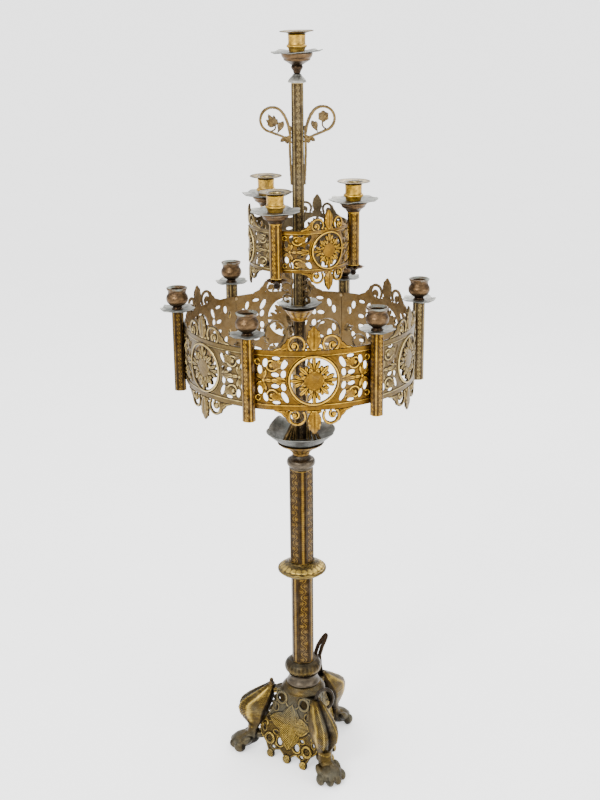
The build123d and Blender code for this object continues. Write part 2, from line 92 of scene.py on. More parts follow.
# ---------------------------------------------------------------- meshes
def finish_piece(name, points, faces, relief, material, nodes=(), body="root", sharp=50,
                 angle=None, share=None, film=None):
    """Makes a piece from points in mm, with the relief attribute that its material reads: a tone that holds
    painted shade and painted highlight besides random unevenness.
    """
    if share is None:
        mesh = bpy.data.meshes.new(name)
        mesh.from_pydata((np.asarray(points, float) * MM).tolist(), [], faces)
        mesh.validate()
        attribute = mesh.attributes.new("relief", "FLOAT", "POINT")
        attribute.data.foreach_set("value", np.asarray(relief, np.float32))
        if film is not None:
            attribute = mesh.attributes.new("patina", "FLOAT", "POINT")
            attribute.data.foreach_set("value", np.asarray(film, np.float32))
        mesh.shade_smooth()
        mesh.set_sharp_from_angle(angle=math.radians(sharp))
        mesh.materials.append(material)
    else:
        mesh = share
    piece = bpy.data.objects.new(name, mesh)
    bpy.context.scene.collection.objects.link(piece)
    if angle is not None:
        piece.rotation_euler = (0, 0, math.radians(angle))
    if share is not None and share.materials[0] is not material:
        piece.material_slots[0].link = "OBJECT"
        piece.material_slots[0].material = material
    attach(piece, body)
    if nodes:
        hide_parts(*nodes)
    return piece


def grid_faces(rows, columns, wrap_rows=False, wrap_columns=False, start=0):
    """Quads of a rows x columns grid of points, numbered row by row."""
    index = start + np.arange(rows * columns).reshape(rows, columns)
    if wrap_rows:
        index = np.vstack([index, index[:1]])
    if wrap_columns:
        index = np.hstack([index, index[:, :1]])
    corners = [index[:-1, :-1], index[1:, :-1], index[1:, 1:], index[:-1, 1:]]
    return np.stack(corners, -1).reshape(-1, 4).tolist()


def rounded(outline, rounds=2):
    """Softens an open outline by cutting its corners; a point given twice stays sharp."""
    points = np.asarray(outline, float)
    for _ in range(rounds):
        cut = [points[0]]
        for a, b in zip(points[:-1], points[1:]):
            if np.allclose(a, b):
                cut += [a, b]
            else:
                cut += [a * 0.75 + b * 0.25, a * 0.25 + b * 0.75]
        cut.append(points[-1])
        points = np.array(cut)
    keep = [0] + [i for i in range(1, len(points)) if not np.allclose(points[i], points[i - 1], atol=1e-6)]
    return points[keep]


def lathe(outline, segments=72, shape=None, rounds=2):
    """Turns an outline of (radius, height) round the z axis; shape may move points about."""
    outline = rounded(outline, rounds)
    theta = np.linspace(0, 2 * np.pi, segments, endpoint=False)
    r = np.repeat(outline[:, :1], segments, 1)
    z = np.repeat(outline[:, 1:], segments, 1)
    t = np.repeat(theta[None], len(outline), 0)
    relief = np.full(r.shape, 0.6)
    if shape:
        r, z, relief = shape(r, z, t, relief)
    points = np.stack([r * np.cos(t), r * np.sin(t), z], -1).reshape(-1, 3)
    faces = grid_faces(len(outline), segments, wrap_columns=True)
    faces = [f[::-1] for f in faces]
    first, last = list(range(segments)), list(range(len(points) - segments, len(points)))
    faces += [first[::-1], last]
    return points, faces, relief.reshape(-1)


def moved(points, radius, angle, turn=True):
    """Points moved out from the axis to a radius and angle, turned to face outward."""
    c, s = math.cos(math.radians(angle)), math.sin(math.radians(angle))
    p = np.array(points, float)
    x, y = (p[:, 0] * c - p[:, 1] * s, p[:, 0] * s + p[:, 1] * c) if turn else (p[:, 0], p[:, 1])
    return np.stack([x + radius * c, y + radius * s, p[:, 2]], -1)


# ---------------------------------------------------------------- relief drawing
def dome(depth, radius):
    return np.sqrt(np.clip(1 - (1 - np.clip(depth / radius, 0, 1)) ** 2, 0, 1))


def arc(cx, cy, radius, start, end, count=16, end_radius=None):
    t = np.linspace(0, 1, count)
    angle = np.radians(start + (end - start) * t)
    r = radius + ((radius if end_radius is None else end_radius) - radius) * t
    return np.stack([cx + r * np.cos(angle), cy + r * np.sin(angle)], axis=1)


class Relief:
    """A drawing of cast ornament: distance inside the metal and height of its face, in mm."""

    def __init__(self, x, y):
        self.x, self.y = x, y
        self.depth = np.full(x.shape, -99.0)
        self.height = np.zeros(x.shape)
        self.outline_fixed = False

    def put(self, depth, height):
        if not self.outline_fixed:
            self.depth = np.maximum(self.depth, depth)
        self.height = np.where(depth > 0, np.maximum(self.height, height), self.height)

    def ring(self, cx, cy, radius, bar, rise, base):
        depth = bar / 2 - np.abs(np.hypot(self.x - cx, self.y - cy) - radius)
        self.put(depth, base + rise * dome(depth, bar / 2))

    def disc(self, cx, cy, radius, rise, base):
        depth = radius - np.hypot(self.x - cx, self.y - cy)
        self.put(depth, base + rise * dome(depth, radius))

    def stroke(self, points, start_width, end_width, rise, base):
        points = np.asarray(points, float)
        steps = len(points) - 1
        for i, (a, b) in enumerate(zip(points[:-1], points[1:])):
            e = b - a
            t = np.clip(((self.x - a[0]) * e[0] + (self.y - a[1]) * e[1]) / (e @ e), 0, 1)
            away = np.hypot(self.x - a[0] - t * e[0], self.y - a[1] - t * e[1])
            half = (start_width + (end_width - start_width) * (i + t) / steps) / 2
            self.put(half - away, base + rise * dome(half - away, half))

    def pierce(self, cx, cy, wide, tall, lean=0.0):
        """An oval opening of the given half sizes."""
        c, s = math.cos(math.radians(lean)), math.sin(math.radians(lean))
        u, v = (self.x - cx) * c + (self.y - cy) * s, (self.y - cy) * c - (self.x - cx) * s
        self.depth = np.minimum(self.depth, (np.hypot(u / wide, v / tall) - 1) * min(wide, tall))

    def leaf(self, x, y, angle, length, width, rise, base, tip=1.6):
        """A pointed leaf from its stalk outward; a tip over 1 puts the widest part further out."""
        c, s = math.cos(math.radians(angle)), math.sin(math.radians(angle))
        along = ((self.x - x) * c + (self.y - y) * s) / length
        across = np.abs(-(self.x - x) * s + (self.y - y) * c)
        inside = np.clip(along, 0, 1)
        half = width / 2 * np.sin(np.pi * inside ** tip) ** 0.8
        beyond = np.hypot((along - inside) * length, across)
        depth = np.where(along == inside, half - across, -beyond)
        face = base + rise * dome(depth, width * 0.45)
        face -= 0.35 * rise * np.exp(-(across / (0.07 * width + 0.25)) ** 2) * np.clip(along * 4, 0, 1)
        self.put(depth, face)


def standing_out(height, inside, passes=7):
    """Tone of a relief: painted highlight where a face stands above what is near it, partly wear from
    rubbing, and painted shade low in the grooves.
    """
    total, weight = height * inside, inside.astype(float)
    for _ in range(passes):
        total, weight = (v + 0.5 * (np.roll(v, 1, 0) + np.roll(v, -1, 0) + np.roll(v, 1, 1) + np.roll(v, -1,
                                                                                                      1))
                         for v in (total, weight))
        peak = weight.max()
        total, weight = total / peak, weight / peak
    near = total / np.maximum(weight, 1e-6)
    return np.clip(0.40 + 0.62 * (height - near) + 0.03 * (height - 3), 0, 1)


def plate(x, y, depth, height, place, step, tallest, double=False):
    """Closed mesh of a pierced relief; place(x, y, h) puts a point at height h above the back."""
    cells = (depth[:-1, :-1] + depth[1:, :-1] + depth[1:, 1:] + depth[:-1, 1:]) > 0
    padded = np.pad(cells, 1)
    around = [padded[i:i + x.shape[0], j:j + x.shape[1]] for i in (0, 1) for j in (0, 1)]
    used = np.any(around, 0)
    edge = used & ~np.all(around, 0)
    gx, gy = np.gradient(depth, step)
    size = np.maximum(np.hypot(gx, gy), 0.3)
    shift = np.clip(-depth / size, -0.7 * step, 0.7 * step)
    px = np.where(edge, x + shift * gx / size, x)
    py = np.where(edge, y + shift * gy / size, y)
    index = np.full(x.shape, -1)
    index[used] = np.arange(used.sum())
    count = int(used.sum())
    top = place(px[used], py[used], height[used])
    bottom = place(px[used], py[used], -height[used] if double else np.zeros(count))
    i, j = np.nonzero(cells)
    front = np.stack([index[i, j], index[i + 1, j], index[i + 1, j + 1], index[i, j + 1]], -1)
    back = front[:, ::-1] + count
    sides = []
    for di, dj, a, b in ((-1, 0, (0, 1), (0, 0)), (1, 0, (1, 0), (1, 1)), (0, -1, (0, 0), (1, 0)),
                         (0, 1, (1, 1), (0, 1))):
        open_side = cells & ~padded[1 + di:1 + di + cells.shape[0], 1 + dj:1 + dj + cells.shape[1]]
        i, j = np.nonzero(open_side)
        p, q = index[i + a[0], j + a[1]], index[i + b[0], j + b[1]]
        sides.append(np.stack([q, p, p + count, q + count], -1)[:, ::-1])
    faces = np.vstack([front, back] + sides).tolist()
    # tone: painted highlight on raised faces and painted shade in the grooves
    tone = np.clip(height / tallest, 0, 1) if double else standing_out(height, depth > 0)
    relief = np.concatenate([tone[used], tone[used] if double else np.full(count, 0.40)])
    return np.vstack([top, bottom]), faces, relief


def star(p, k):
    """Ring with a star flower: fans on the axes, pointed trefoils on the diagonals."""
    p.ring(0, 0, 44 * k, 4.8 * k, 2.2, 1.8)
    for a in (0, 90, 180, 270):
        c, s = math.cos(math.radians(a)) * k, math.sin(math.radians(a)) * k
        p.stroke([(c * 10, s * 10), (c * 28, s * 28), (c * 42, s * 42)], 5 * k, 5 * k, 0.6, 0.9)
        for turn, length, width in ((0, 30, 8), (26, 25, 7), (-26, 25, 7), (50, 13, 6), (-50, 13, 6)):
            p.leaf(c * 15, s * 15, a + turn, length * k, width * k, 3.2, 0.9, tip=1.8)
    for a in (45, 135, 225, 315):
        c, s = math.cos(math.radians(a)) * k, math.sin(math.radians(a)) * k
        p.stroke([(c * 10, s * 10), (c * 24, s * 24)], 8 * k, 5 * k, 0.8, 1.8)
        p.leaf(c * 14, s * 14, a, 24 * k, 9 * k, 3.6, 1.4, tip=1.3)
        for side in (-1, 1):
            p.leaf(c * 18, s * 18, a + side * 38, 15 * k, 7.5 * k, 3.0, 1.3, tip=1.6)
            b = math.radians(a + side * 21)
            p.disc(19.5 * k * math.cos(b), 19.5 * k * math.sin(b), 2.8 * k, 1.6, 2.2)
    p.disc(0, 0, 17.5 * k, 0.5, 2.6)


def quarter(c, k, edge):
    """Pierced plate between the star ring and the panel's end, with fleur, scroll and leaves."""
    outside = np.hypot(c.x, c.y) - 44 * k
    c.depth = np.maximum(c.depth, outside)
    c.height = np.where(outside > 0, np.maximum(c.height, 1.0), c.height)
    for cx, cy, wide, tall, lean in ((52.5, 31, 4.6, 11, 28), (55, 12, 4.4, 7, 12), (70, 10.5, 7, 4, 0),
                                     (68, 41, 7, 3.2, 0), (88, 32, 4.6, 8, 12), (98, 19, 4.4, 8, 0)):
        c.pierce(cx * k, cy * k, wide * k, tall * k, lean)
    c.outline_fixed = True
    c.ring(0, 0, 48.5 * k, 1.6 * k, 0.7, 1.0)
    for turn, length, width in ((0, 30, 8), (20, 22, 5), (-20, 22, 5), (36, 13, 4)):
        c.leaf(49 * k, 0, turn, length * k, width * k, 2.2, 1.0, tip=1.9)
    for turn, length in ((100, 20), (118, 23), (136, 24), (154, 20), (82, 17)):
        c.leaf(72 * k, 20 * k, turn, length * k, 6 * k, 2.0, 1.0, tip=1.6)
    c.stroke(arc(76 * k, 28 * k, 11 * k, -150, 175, 24, 8 * k), 3.6 * k, 3.0 * k, 1.8, 1.0)
    c.disc(77 * k, 28 * k, 4 * k, 2.0, 1.2)
    for turn, length in ((62, 24), (84, 22), (106, 20), (40, 18)):
        c.leaf(92 * k, 0, turn, length * k, 6.5 * k, 2.2, 1.0, tip=1.5)
    c.leaf(92 * k, 0, 180, 17 * k, 7 * k, 2.0, 1.0, tip=1.4)
    c.stroke(arc(102 * k, 34 * k, 6 * k, -120, 160, 16, 4 * k), 2.6 * k, 2.2 * k, 1.5, 1.0)
    c.disc(92 * k, 0, 3.4 * k, 1.6, 1.4)
    c.stroke([(edge, 0), (edge, 46 * k)], 5 * k, 5 * k, 0.8, 1.0)
    c.outline_fixed = False


def crest(q, spread, reach):
    """Spade leaf between two thick C-scrolls that run out along the band's edge."""
    k = spread / 33
    q.stroke(arc(spread - 2 * k, 11.5 * k, 14.5 * k, -70, 215, 26), 5.0 * k, 4.2 * k, 1.8, 1.2)
    q.stroke([(spread + 11 * k, 19 * k), (spread + 17 * k, 10 * k), (spread + 25 * k, 4 * k),
              (spread + 38 * k, 0)], 8 * k, 3 * k, 1.5, 1.0)
    q.leaf(spread + 32 * k, -1 * k, 150, 26 * k, 12 * k, 1.9, 0.9)
    q.leaf(spread + 14 * k, -2 * k, 75, 15 * k, 9 * k, 1.9, 0.9)
    q.stroke(arc(spread + 2 * k, 9 * k, 8 * k, 235, 60, 14, 4.5 * k), 3.4 * k, 3 * k, 1.5, 1.2)
    q.disc(spread + 3 * k, 9 * k, 4.6 * k, 2.2, 1.4)
    q.leaf(0, -3 * k, 90, reach + 3 * k, 25 * k, 2.4, 1.5, tip=0.95)
    q.leaf(0, 14 * k, 68, 25 * k, 9 * k, 2.2, 1.6, tip=1.1)
    q.leaf(0, 3 * k, 62, 24 * k, 10 * k, 2.0, 1.4)
    q.disc(8 * k, 27 * k, 3.6 * k, 1.8, 2.0)
    q.leaf(2 * k, -2 * k, 28, 13 * k, 6 * k, 1.7, 0.9)


def panel_relief(arc_half, half, spread, reach, k, band, step):
    """Distance and height maps of one ring panel over (along the ring, up from its middle)."""
    tall = half + reach + 1
    along = np.linspace(-arc_half, arc_half, round(2 * arc_half / step) + 1)
    up = np.linspace(-tall, tall, round(2 * tall / step) + 1)
    s, z = np.meshgrid(along, up, indexing="ij")
    field = Relief(s, z)
    star(field, k)
    beyond = np.maximum(np.abs(s) - 44 * k, 0)
    field.x = np.abs(s) - beyond * (1 - 71 * k / (arc_half - 44 * k))
    field.y = np.abs(z)
    quarter(field, k, 115 * k)
    field.x = np.abs(s)
    field.height = np.maximum(field.height, 0.7) + 0.14 * ripple(s * 2.2, z * 2.4, 5.0)
    field.put(np.minimum(field.y - (half - band), half - field.y), np.full(s.shape, 1.7))
    field.stroke([(0, half - band + 0.4), (arc_half, half - band + 0.4)], 1.6, 1.6, 0.6, 1.7)
    field.depth = np.minimum(field.depth, half - field.y)
    edge = Relief(np.abs(s), np.abs(z) - half)
    crest(edge, spread, reach)
    edge_depth = np.where(edge.y > -1.5, edge.depth + 0.5, -99)
    depth = np.minimum(np.maximum(field.depth, edge_depth), arc_half - 0.2 - np.abs(s))
    height = np.where(edge.y > 0, np.maximum(edge.height, 0.7), field.height)
    return s, z, depth, height


# ---------------------------------------------------------------- materials
def link_ramp(tree, value, stops):
    """Colour ramp driven by a socket; stops are (position, linear RGB)."""
    ramp = tree.nodes.new("ShaderNodeValToRGB")
    elements = ramp.color_ramp.elements
    while len(elements) < len(stops):
        elements.new(0.5)
    for element, (position, colour) in zip(elements, stops):
        element.position = position
        element.color = (*colour, 1)
    tree.links.new(value, ramp.inputs["Fac"])
    return ramp.outputs["Color"]


def noise(tree, coords, scale, detail=4.0, roughness=0.6):
    node = tree.nodes.new("ShaderNodeTexNoise")
    node.inputs["Scale"].default_value = scale
    node.inputs["Detail"].default_value = detail
    node.inputs["Roughness"].default_value = roughness
    tree.links.new(coords, node.inputs["Vector"])
    return node.outputs["Fac"]


def math_node(tree, operation, a, b=0.0, c=0.0):
    node = tree.nodes.new("ShaderNodeMath")
    node.operation = operation
    for socket, value in zip(node.inputs, (a, b, c)):
        if isinstance(value, (int, float)):
            socket.default_value = value
        else:
            tree.links.new(value, socket)
    return node.outputs[0]


def blend_colour(tree, factor, a, b):
    node = tree.nodes.new("ShaderNodeMix")
    node.data_type = "RGBA"
    tree.links.new(factor, node.inputs["Factor"])
    for name, value in (("A", a), ("B", b)):
        socket = [s for s in node.inputs if s.name == name and s.type == "RGBA"][0]
        if isinstance(value, tuple):
            socket.default_value = (*value, 1)
        else:
            tree.links.new(value, socket)
    return [s for s in node.outputs if s.type == "RGBA"][0]


def attribute(tree, name):
    node = tree.nodes.new("ShaderNodeAttribute")
    node.attribute_name = name
    return node.outputs["Fac"]


def aged_metal(name, recess_shade, body, bright, patina, rough=0.36, cover=0.35, carved=True, film_from=0.62):
    """Old cast or turned metal: painted shade in its recesses, painted highlight on its raised edges that is
    partly wear from rubbing, and dull patina.
    """
    material = bpy.data.materials.new(name)
    material.use_nodes = True
    tree = material.node_tree
    shader = tree.nodes["Principled BSDF"]
    coords = tree.nodes.new("ShaderNodeTexCoord").outputs["Object"]
    broad = noise(tree, coords, 22, 3)
    patchy = noise(tree, coords, 95, 5, 0.65)
    fine = noise(tree, coords, 900, 3, 0.7)
    height = attribute(tree, "relief") if carved else math_node(tree, "MULTIPLY_ADD", patchy, 0.5, 0.35)
    # the relief tone is painted shade in recesses and painted highlight on raised edges; the noise adds
    # patchy unevenness
    painted_light_and_patches = math_node(tree, "MULTIPLY_ADD", math_node(tree, "SUBTRACT", patchy, 0.5), 0.5, height)
    painted_light_and_patches = math_node(tree, "MULTIPLY_ADD", math_node(tree, "SUBTRACT", fine, 0.5), 0.45, painted_light_and_patches)
    # first colour: painted shade in the recesses; last colour: painted highlight, partly wear from rubbing
    colour = link_ramp(tree, painted_light_and_patches, [(0.12, recess_shade), (0.5, body), (0.95, bright)])
    film = math_node(tree, "ADD", broad, math_node(tree, "MULTIPLY", fine, 0.35))
    if carved:
        film = math_node(tree, "MULTIPLY_ADD", attribute(tree, "patina"), 0.6, film)
    patches = link_ramp(tree, film, [(film_from, (0, 0, 0)), (film_from + 0.33, (1, 1, 1))])
    mask = math_node(tree, "MULTIPLY", patches, cover)
    # keeps patina out of the darkest painted shade
    clear_of_painted_shade = math_node(tree, "MINIMUM", math_node(tree, "MULTIPLY", painted_light_and_patches, 1.9), 1.0)
    mask = math_node(tree, "MULTIPLY", mask, clear_of_painted_shade)
    tree.links.new(blend_colour(tree, mask, colour, patina), shader.inputs["Base Color"])
    tree.links.new(math_node(tree, "MULTIPLY_ADD", mask, -0.55, 0.98), shader.inputs["Metallic"])
    gloss = math_node(tree, "MULTIPLY_ADD", patchy, 0.22, rough - 0.1)
    tree.links.new(math_node(tree, "MULTIPLY_ADD", mask, 0.25, gloss), shader.inputs["Roughness"])
    bump = tree.nodes.new("ShaderNodeBump")
    bump.inputs["Strength"].default_value = 0.35
    bump.inputs["Distance"].default_value = 0.0006
    tree.links.new(math_node(tree, "ADD", fine, patchy), bump.inputs["Height"])
    tree.links.new(bump.outputs["Normal"], shader.inputs["Normal"])
    return material


GREEN_GREY = (0.062, 0.070, 0.058)
GILT = aged_metal("antique_gilt_brass", (0.012, 0.006, 0.002), (0.165, 0.082, 0.009),
                  (0.82, 0.49, 0.05), (0.20, 0.155, 0.085), cover=0.5)
ENGRAVED = aged_metal("brown_gilt_brass", (0.010, 0.006, 0.003), (0.066, 0.035, 0.008),
                      (0.36, 0.215, 0.030), (0.12, 0.10, 0.07), cover=0.4)
BASE = aged_metal("antique_base_brass", (0.006, 0.004, 0.003), (0.062, 0.039, 0.010),
                  (0.52, 0.35, 0.07), GREEN_GREY, cover=0.55)
DULL = aged_metal("dull_brass", (0.016, 0.011, 0.007), (0.135, 0.090, 0.032),
                  (0.60, 0.46, 0.18), (0.19, 0.155, 0.10), cover=0.5)
BRACKET = aged_metal("brown_brass", (0.012, 0.008, 0.006), (0.060, 0.038, 0.016),
                     (0.32, 0.21, 0.075), (0.09, 0.08, 0.06), cover=0.4)
PATINA = aged_metal("patinated_brass_sheet", (0.010, 0.009, 0.008), (0.125, 0.122, 0.108),
                    (0.48, 0.47, 0.42), (0.24, 0.27, 0.25), rough=0.46, cover=0.6)
COPPER = aged_metal("copper_brown_brass", (0.008, 0.006, 0.005), (0.036, 0.022, 0.012),
                    (0.155, 0.092, 0.042), (0.24, 0.28, 0.25), cover=0.8, film_from=0.84)
IRON = aged_metal("dark_grey_metal", (0.008, 0.007, 0.006), (0.028, 0.022, 0.016),
                  (0.115, 0.090, 0.060), (0.06, 0.055, 0.045), rough=0.38)
SCREW = aged_metal("screw_brass", (0.06, 0.035, 0.02), (0.30, 0.2, 0.09), (0.5, 0.38, 0.2),
                   (0.2, 0.18, 0.15), carved=False)
STEEL = aged_metal("rod_steel", (0.05, 0.05, 0.05), (0.25, 0.25, 0.25), (0.5, 0.5, 0.5),
                   (0.2, 0.13, 0.09), carved=False)


# ---------------------------------------------------------------- pierced rings
def bent(radius, middle):
    """Places a flat relief on the ring: s along the ring, z up, h out from the plate's back."""
    def place(s, z, h):
        angle = s / radius
        reach = radius - 3 + h
        return np.stack([reach * np.cos(angle), reach * np.sin(angle), middle + z], -1)
    return place


def ring_panels(prefix, count, first, ring_radius, drawing, low, top, materials):
    outer = ring_radius - STEM / 2
    s, z, depth, height = drawing
    place = bent(outer, (low + top) / 2)
    points, faces, relief = plate(s, z, depth, height + 1.3, place, s[1, 0] - s[0, 0], 5.6)
    film = np.where(np.arange(len(points)) < len(points) // 2, -0.1, 0.4)
    mesh = None
    for k in range(count):
        node = f"{prefix}_{k + 1}"
        piece = finish_piece(f"{node}_casting", points, faces, relief, materials[k], [node],
                             angle=first + 360 / count * k, share=mesh, film=film)
        mesh = piece.data


ring_panels("lower_panel", 6, RING_TURN + 30, LOWER_RADIUS, panel_relief(114.9, 55.5, 33, 45, 1.0, 10, 1.0),
            *span("lower_panel_1"), [GILT, GILT, GILT, DULL, GILT, DULL])
ring_panels("upper_panel", 3, RING_TURN + 60, UPPER_RADIUS, panel_relief(96.5, 39, 25, 36, 0.76, 6, 0.8),
            *span("upper_panel_1"), [DULL, DULL, GILT])


# ---------------------------------------------------------------- engraved tubes
def vine(u, v, half, period):
    """Engraved running vine with leaves between two border lines; 1 is the untouched face."""
    sway = 0.42 * half
    stem = np.abs(u - sway * np.sin(2 * np.pi * v / period)) - 0.06 * half
    h = 0.22 + 0.14 * ripple(u * 2.3, v * 2.1)
    h = np.maximum(h, np.clip(1.0 - np.maximum(stem, 0) * 1.6, 0, 1))
    for side, offset in ((1, 0.25), (-1, 0.75)):
        w = np.mod(v / period - offset + 0.5, 1) * period - period / 2
        x = u * side + 0.28 * half
        spread = np.hypot(x / (0.42 * half), w / (0.17 * period))
        angle = np.arctan2(w / (0.17 * period), x / (0.42 * half))
        leaf = 1.0 + 0.22 * np.cos(5 * angle) - spread
        face = 0.62 + 0.5 * np.clip(leaf, 0, 0.7) - 0.3 * (np.cos(5 * angle) < -0.55)
        h = np.maximum(h, np.where(leaf > 0, face, 0))
        for shift in (-0.24, 0.24):
            bud = 1.15 - np.hypot(u * side - 0.42 * half, w - shift * period) / (0.13 * half)
            h = np.maximum(h, np.clip(bud, 0, 0.95))
    edge = half - np.abs(u)
    h = np.where(edge < 0.24 * half, 0.18, h)
    return np.where(edge < 0.10 * half, 0.3, h)


def lattice(u, v, half, period):
    """Beads in a row between two grooves on a narrow face."""
    w = np.mod(v, period) - period / 2
    bead = dome(0.52 * half - np.hypot(u, w * 0.9), 0.5 * half)
    cross = np.clip(1 - np.abs(np.abs(u) - np.abs(w) * 0.8) * 2.0, 0, 0.7)
    h = np.maximum(0.15 + 0.1 * ripple(u * 3, v * 2), np.maximum(bead, cross))
    return np.where(half - np.abs(u) < 0.16 * half, 0.2, h)


ENGRAVING = 0.55


def prism(side, cut, low, high, step, period):
    """Square tube with cut corners, engraved with a vine on wide faces and beads on narrow ones."""
    wide, narrow = side - 2 * cut, cut * math.sqrt(2)
    columns = []
    for k in range(8):
        angle = math.radians(45 * k)
        width, reach = (wide, side / 2) if k % 2 == 0 else (narrow, (side - cut) / math.sqrt(2))
        count = max(4, round(width / step))
        for u in (np.arange(count) + 0.5) / count * width - width / 2:
            columns.append((angle, reach, u, width / 2, k % 2))
    angle, reach, u, half, kind = (np.array(column)[None, :] for column in zip(*columns))
    z = np.linspace(low, high, round((high - low) / step) + 1)[:, None]
    v = z - low + 0 * u
    h = np.where(kind == 0, vine(u, v, wide / 2, period), lattice(u, v, narrow / 2, period / 6))
    h = np.where((v < 1.5) | (high - z < 1.5), 1.0, h)
    out = reach + (h - 1) * ENGRAVING
    x = out * np.cos(angle) - u * np.sin(angle)
    y = out * np.sin(angle) + u * np.cos(angle)
    points = np.stack([x, y, z + 0 * x], -1).reshape(-1, 3)
    rows, count = x.shape
    faces = [f[::-1] for f in grid_faces(rows, count, wrap_columns=True)]
    faces += [list(range(count))[::-1], list(range(rows * count - count, rows * count))]
    # engraved grooves painted darker than the untouched face: painted shade
    return points, faces, np.clip(0.08 + 0.58 * h, 0, 1).reshape(-1)


def column_piece(node, side, cut, turn, period, material):
    points, faces, relief = prism(side, cut, *span(node), 0.8, period)
    finish_piece(f"{node}_engraved", points, faces, relief, material, [node], angle=turn)


column_piece("lower_column", COLUMN, COLUMN_CUT, RING_TURN, 26, ENGRAVED)
column_piece("upper_column", COLUMN, COLUMN_CUT, RING_TURN + 45, 26, ENGRAVED)
column_piece("middle_stem", STEM, STEM_CUT, RING_TURN, 20, BRACKET)
column_piece("top_stem", STEM, STEM_CUT, RING_TURN, 20, DULL)


def ring_tubes(node, radius, angles, materials):
    """Uprights of one ring, each standing at the ring's radius."""
    points, faces, relief = prism(STEM, STEM_CUT, *span(node), 0.6, 17)
    points = moved(points, radius, 0)
    mesh = None
    for k, (angle, material) in enumerate(zip(angles, materials)):
        piece = finish_piece(f"{node}_{k + 1}_engraved", points, faces, relief, material,
                             [node], angle=angle, share=mesh)
        mesh = piece.data


ring_tubes("lower_tubes", LOWER_RADIUS, LOWER_ANGLES, [DULL, DULL, DULL, ENGRAVED, GILT, GILT])
ring_tubes("upper_tubes", UPPER_RADIUS, UPPER_ANGLES, [GILT] * 3)


# ---------------------------------------------------------------- turned parts
def turned_piece(node, name, outline, material, shape=None, segments=96, rounds=2):
    points, faces, relief = lathe(outline, segments, shape, rounds)
    finish_piece(name, points, faces, relief, material, [node], angle=RING_TURN)


def rubbing_and_shade(r, z, t, relief):
    """Painted highlight where the outline swells, partly wear from rubbing, and painted shade in the
    throats, with a little unevenness.
    """
    low, high = r.min(), r.max()
    near = (r - low) / max(high - low, 1e-6)
    return r, z, 0.25 + 0.5 * near + 0.12 * ripple(t * 3, z * 0.4, 1.0)


def petals(count, low, high, depth):
    """Upright petals worked into the outline between two heights."""
    def shape(r, z, t, relief):
        part = np.clip((z - low) / (high - low), 0, 1)
        inside = np.sin(np.pi * part) ** 0.5
        wave = np.abs(np.sin(count * t / 2))
        rib = wave ** 0.6
        r = r * (1 + depth * inside * (rib - 0.6))
        # ribs painted brighter as painted highlight, the grooves between them painted darker as painted
        # shade
        return r, z, 0.22 + 0.36 * rib * inside + 0.2 * (1 - inside) + 0.14 * ripple(t * 4, z * 0.5)
    return shape


def zigzag_leaves(low, high, count):
    """Embossed zigzag band with leaves between its turns on the lower half, rosettes above."""
    def shape(r, z, t, relief):
        part = (z - low) / (high - low)
        phase = np.abs(np.mod(t * count / (2 * np.pi), 1) - 0.5) * 2
        over = part - (0.16 + 0.24 * phase)
        line = np.exp(-(over / 0.055) ** 2)
        second = np.exp(-((over - 0.14) / 0.035) ** 2)
        leaf = np.clip(1.2 - np.hypot(phase * 2.2, (part - 0.10) * 8), 0, 1)
        bloom = np.clip(1.1 - np.hypot((phase - 1.0) * 1.9, (part - 0.66) * 5.5), 0, 1)
        worked = np.clip(np.maximum.reduce([line, 0.7 * second, leaf ** 0.5, 0.7 * bloom ** 0.5]), 0, 1)
        grain = ripple(t * 46, z * 2.2)
        # raised work painted brighter as painted highlight; the upper half is a fixed step darker
        return r + 0.3 * worked + 0.06 * grain, z, 0.36 + 0.26 * worked + 0.16 * grain - 0.1 * (part > 0.5)
    return shape


def granulated(r, z, t, relief):
    """Low punched texture all over, as on the ground between cast ornament."""
    punched = ripple(t * 52, z * 1.9, 1.0) + 0.7 * ripple(t * 31, z * 1.2, 2.0)
    # raised grains painted brighter and pits darker: painted highlight and painted shade
    return r + 0.22 * punched, z, 0.42 + 0.22 * punched


crown_low, crown_top = span("base_crown")
knob_low, knob_top = span("base_knob")
turned_piece("base_crown", "base_crown_casting",
             [(0, crown_low), (45, crown_low), (46, crown_low + 3), (43, crown_low + 8),
              (38, crown_low + 13),
              (35, crown_top), (0, crown_top)], BASE, granulated, segments=288)
turned_piece("base_collar", "base_collar_turned",
             [(0, crown_top), (34, crown_top), (34.5, crown_top + 3), (33, crown_top + 6),
              (29.5, crown_top + 12),
              (28.6, crown_top + 18), (30, crown_top + 21), (32.5, knob_low), (0, knob_low)],
             IRON, rubbing_and_shade)
turned_piece("base_knob", "base_knob_embossed",
             [(0, knob_low), (27, knob_low), (30.5, knob_low + 0.6), (35.4, knob_low + 4.5),
              (37.8, knob_low + 10),
              (38.2, knob_low + 15), (36.5, knob_low + 20.5), (33, knob_low + 24.5), (29, knob_low + 26.5),
              (27.5, knob_top), (26, knob_top), (0, knob_top)],
             BASE, zigzag_leaves(knob_low, knob_top, 28), segments=480, rounds=3)


def beaded(low, high, count, depth=0.6):
    """A ring of round beads between two heights."""
    def shape(r, z, t, relief):
        across = (z - (low + high) / 2) / ((high - low) / 2)
        phase = (np.mod(t * count / (2 * np.pi), 1) - 0.5) * 2
        bead = np.sqrt(np.clip(1 - across ** 2 - phase ** 2, 0, 1))
        near = (r - r.min()) / max(r.max() - r.min(), 1e-6)
        # swells and beads painted brighter: painted highlight
        return r + depth * bead, z, 0.34 + 0.22 * near + 0.4 * bead + 0.14 * ripple(t * 9, z * 1.1)
    return shape


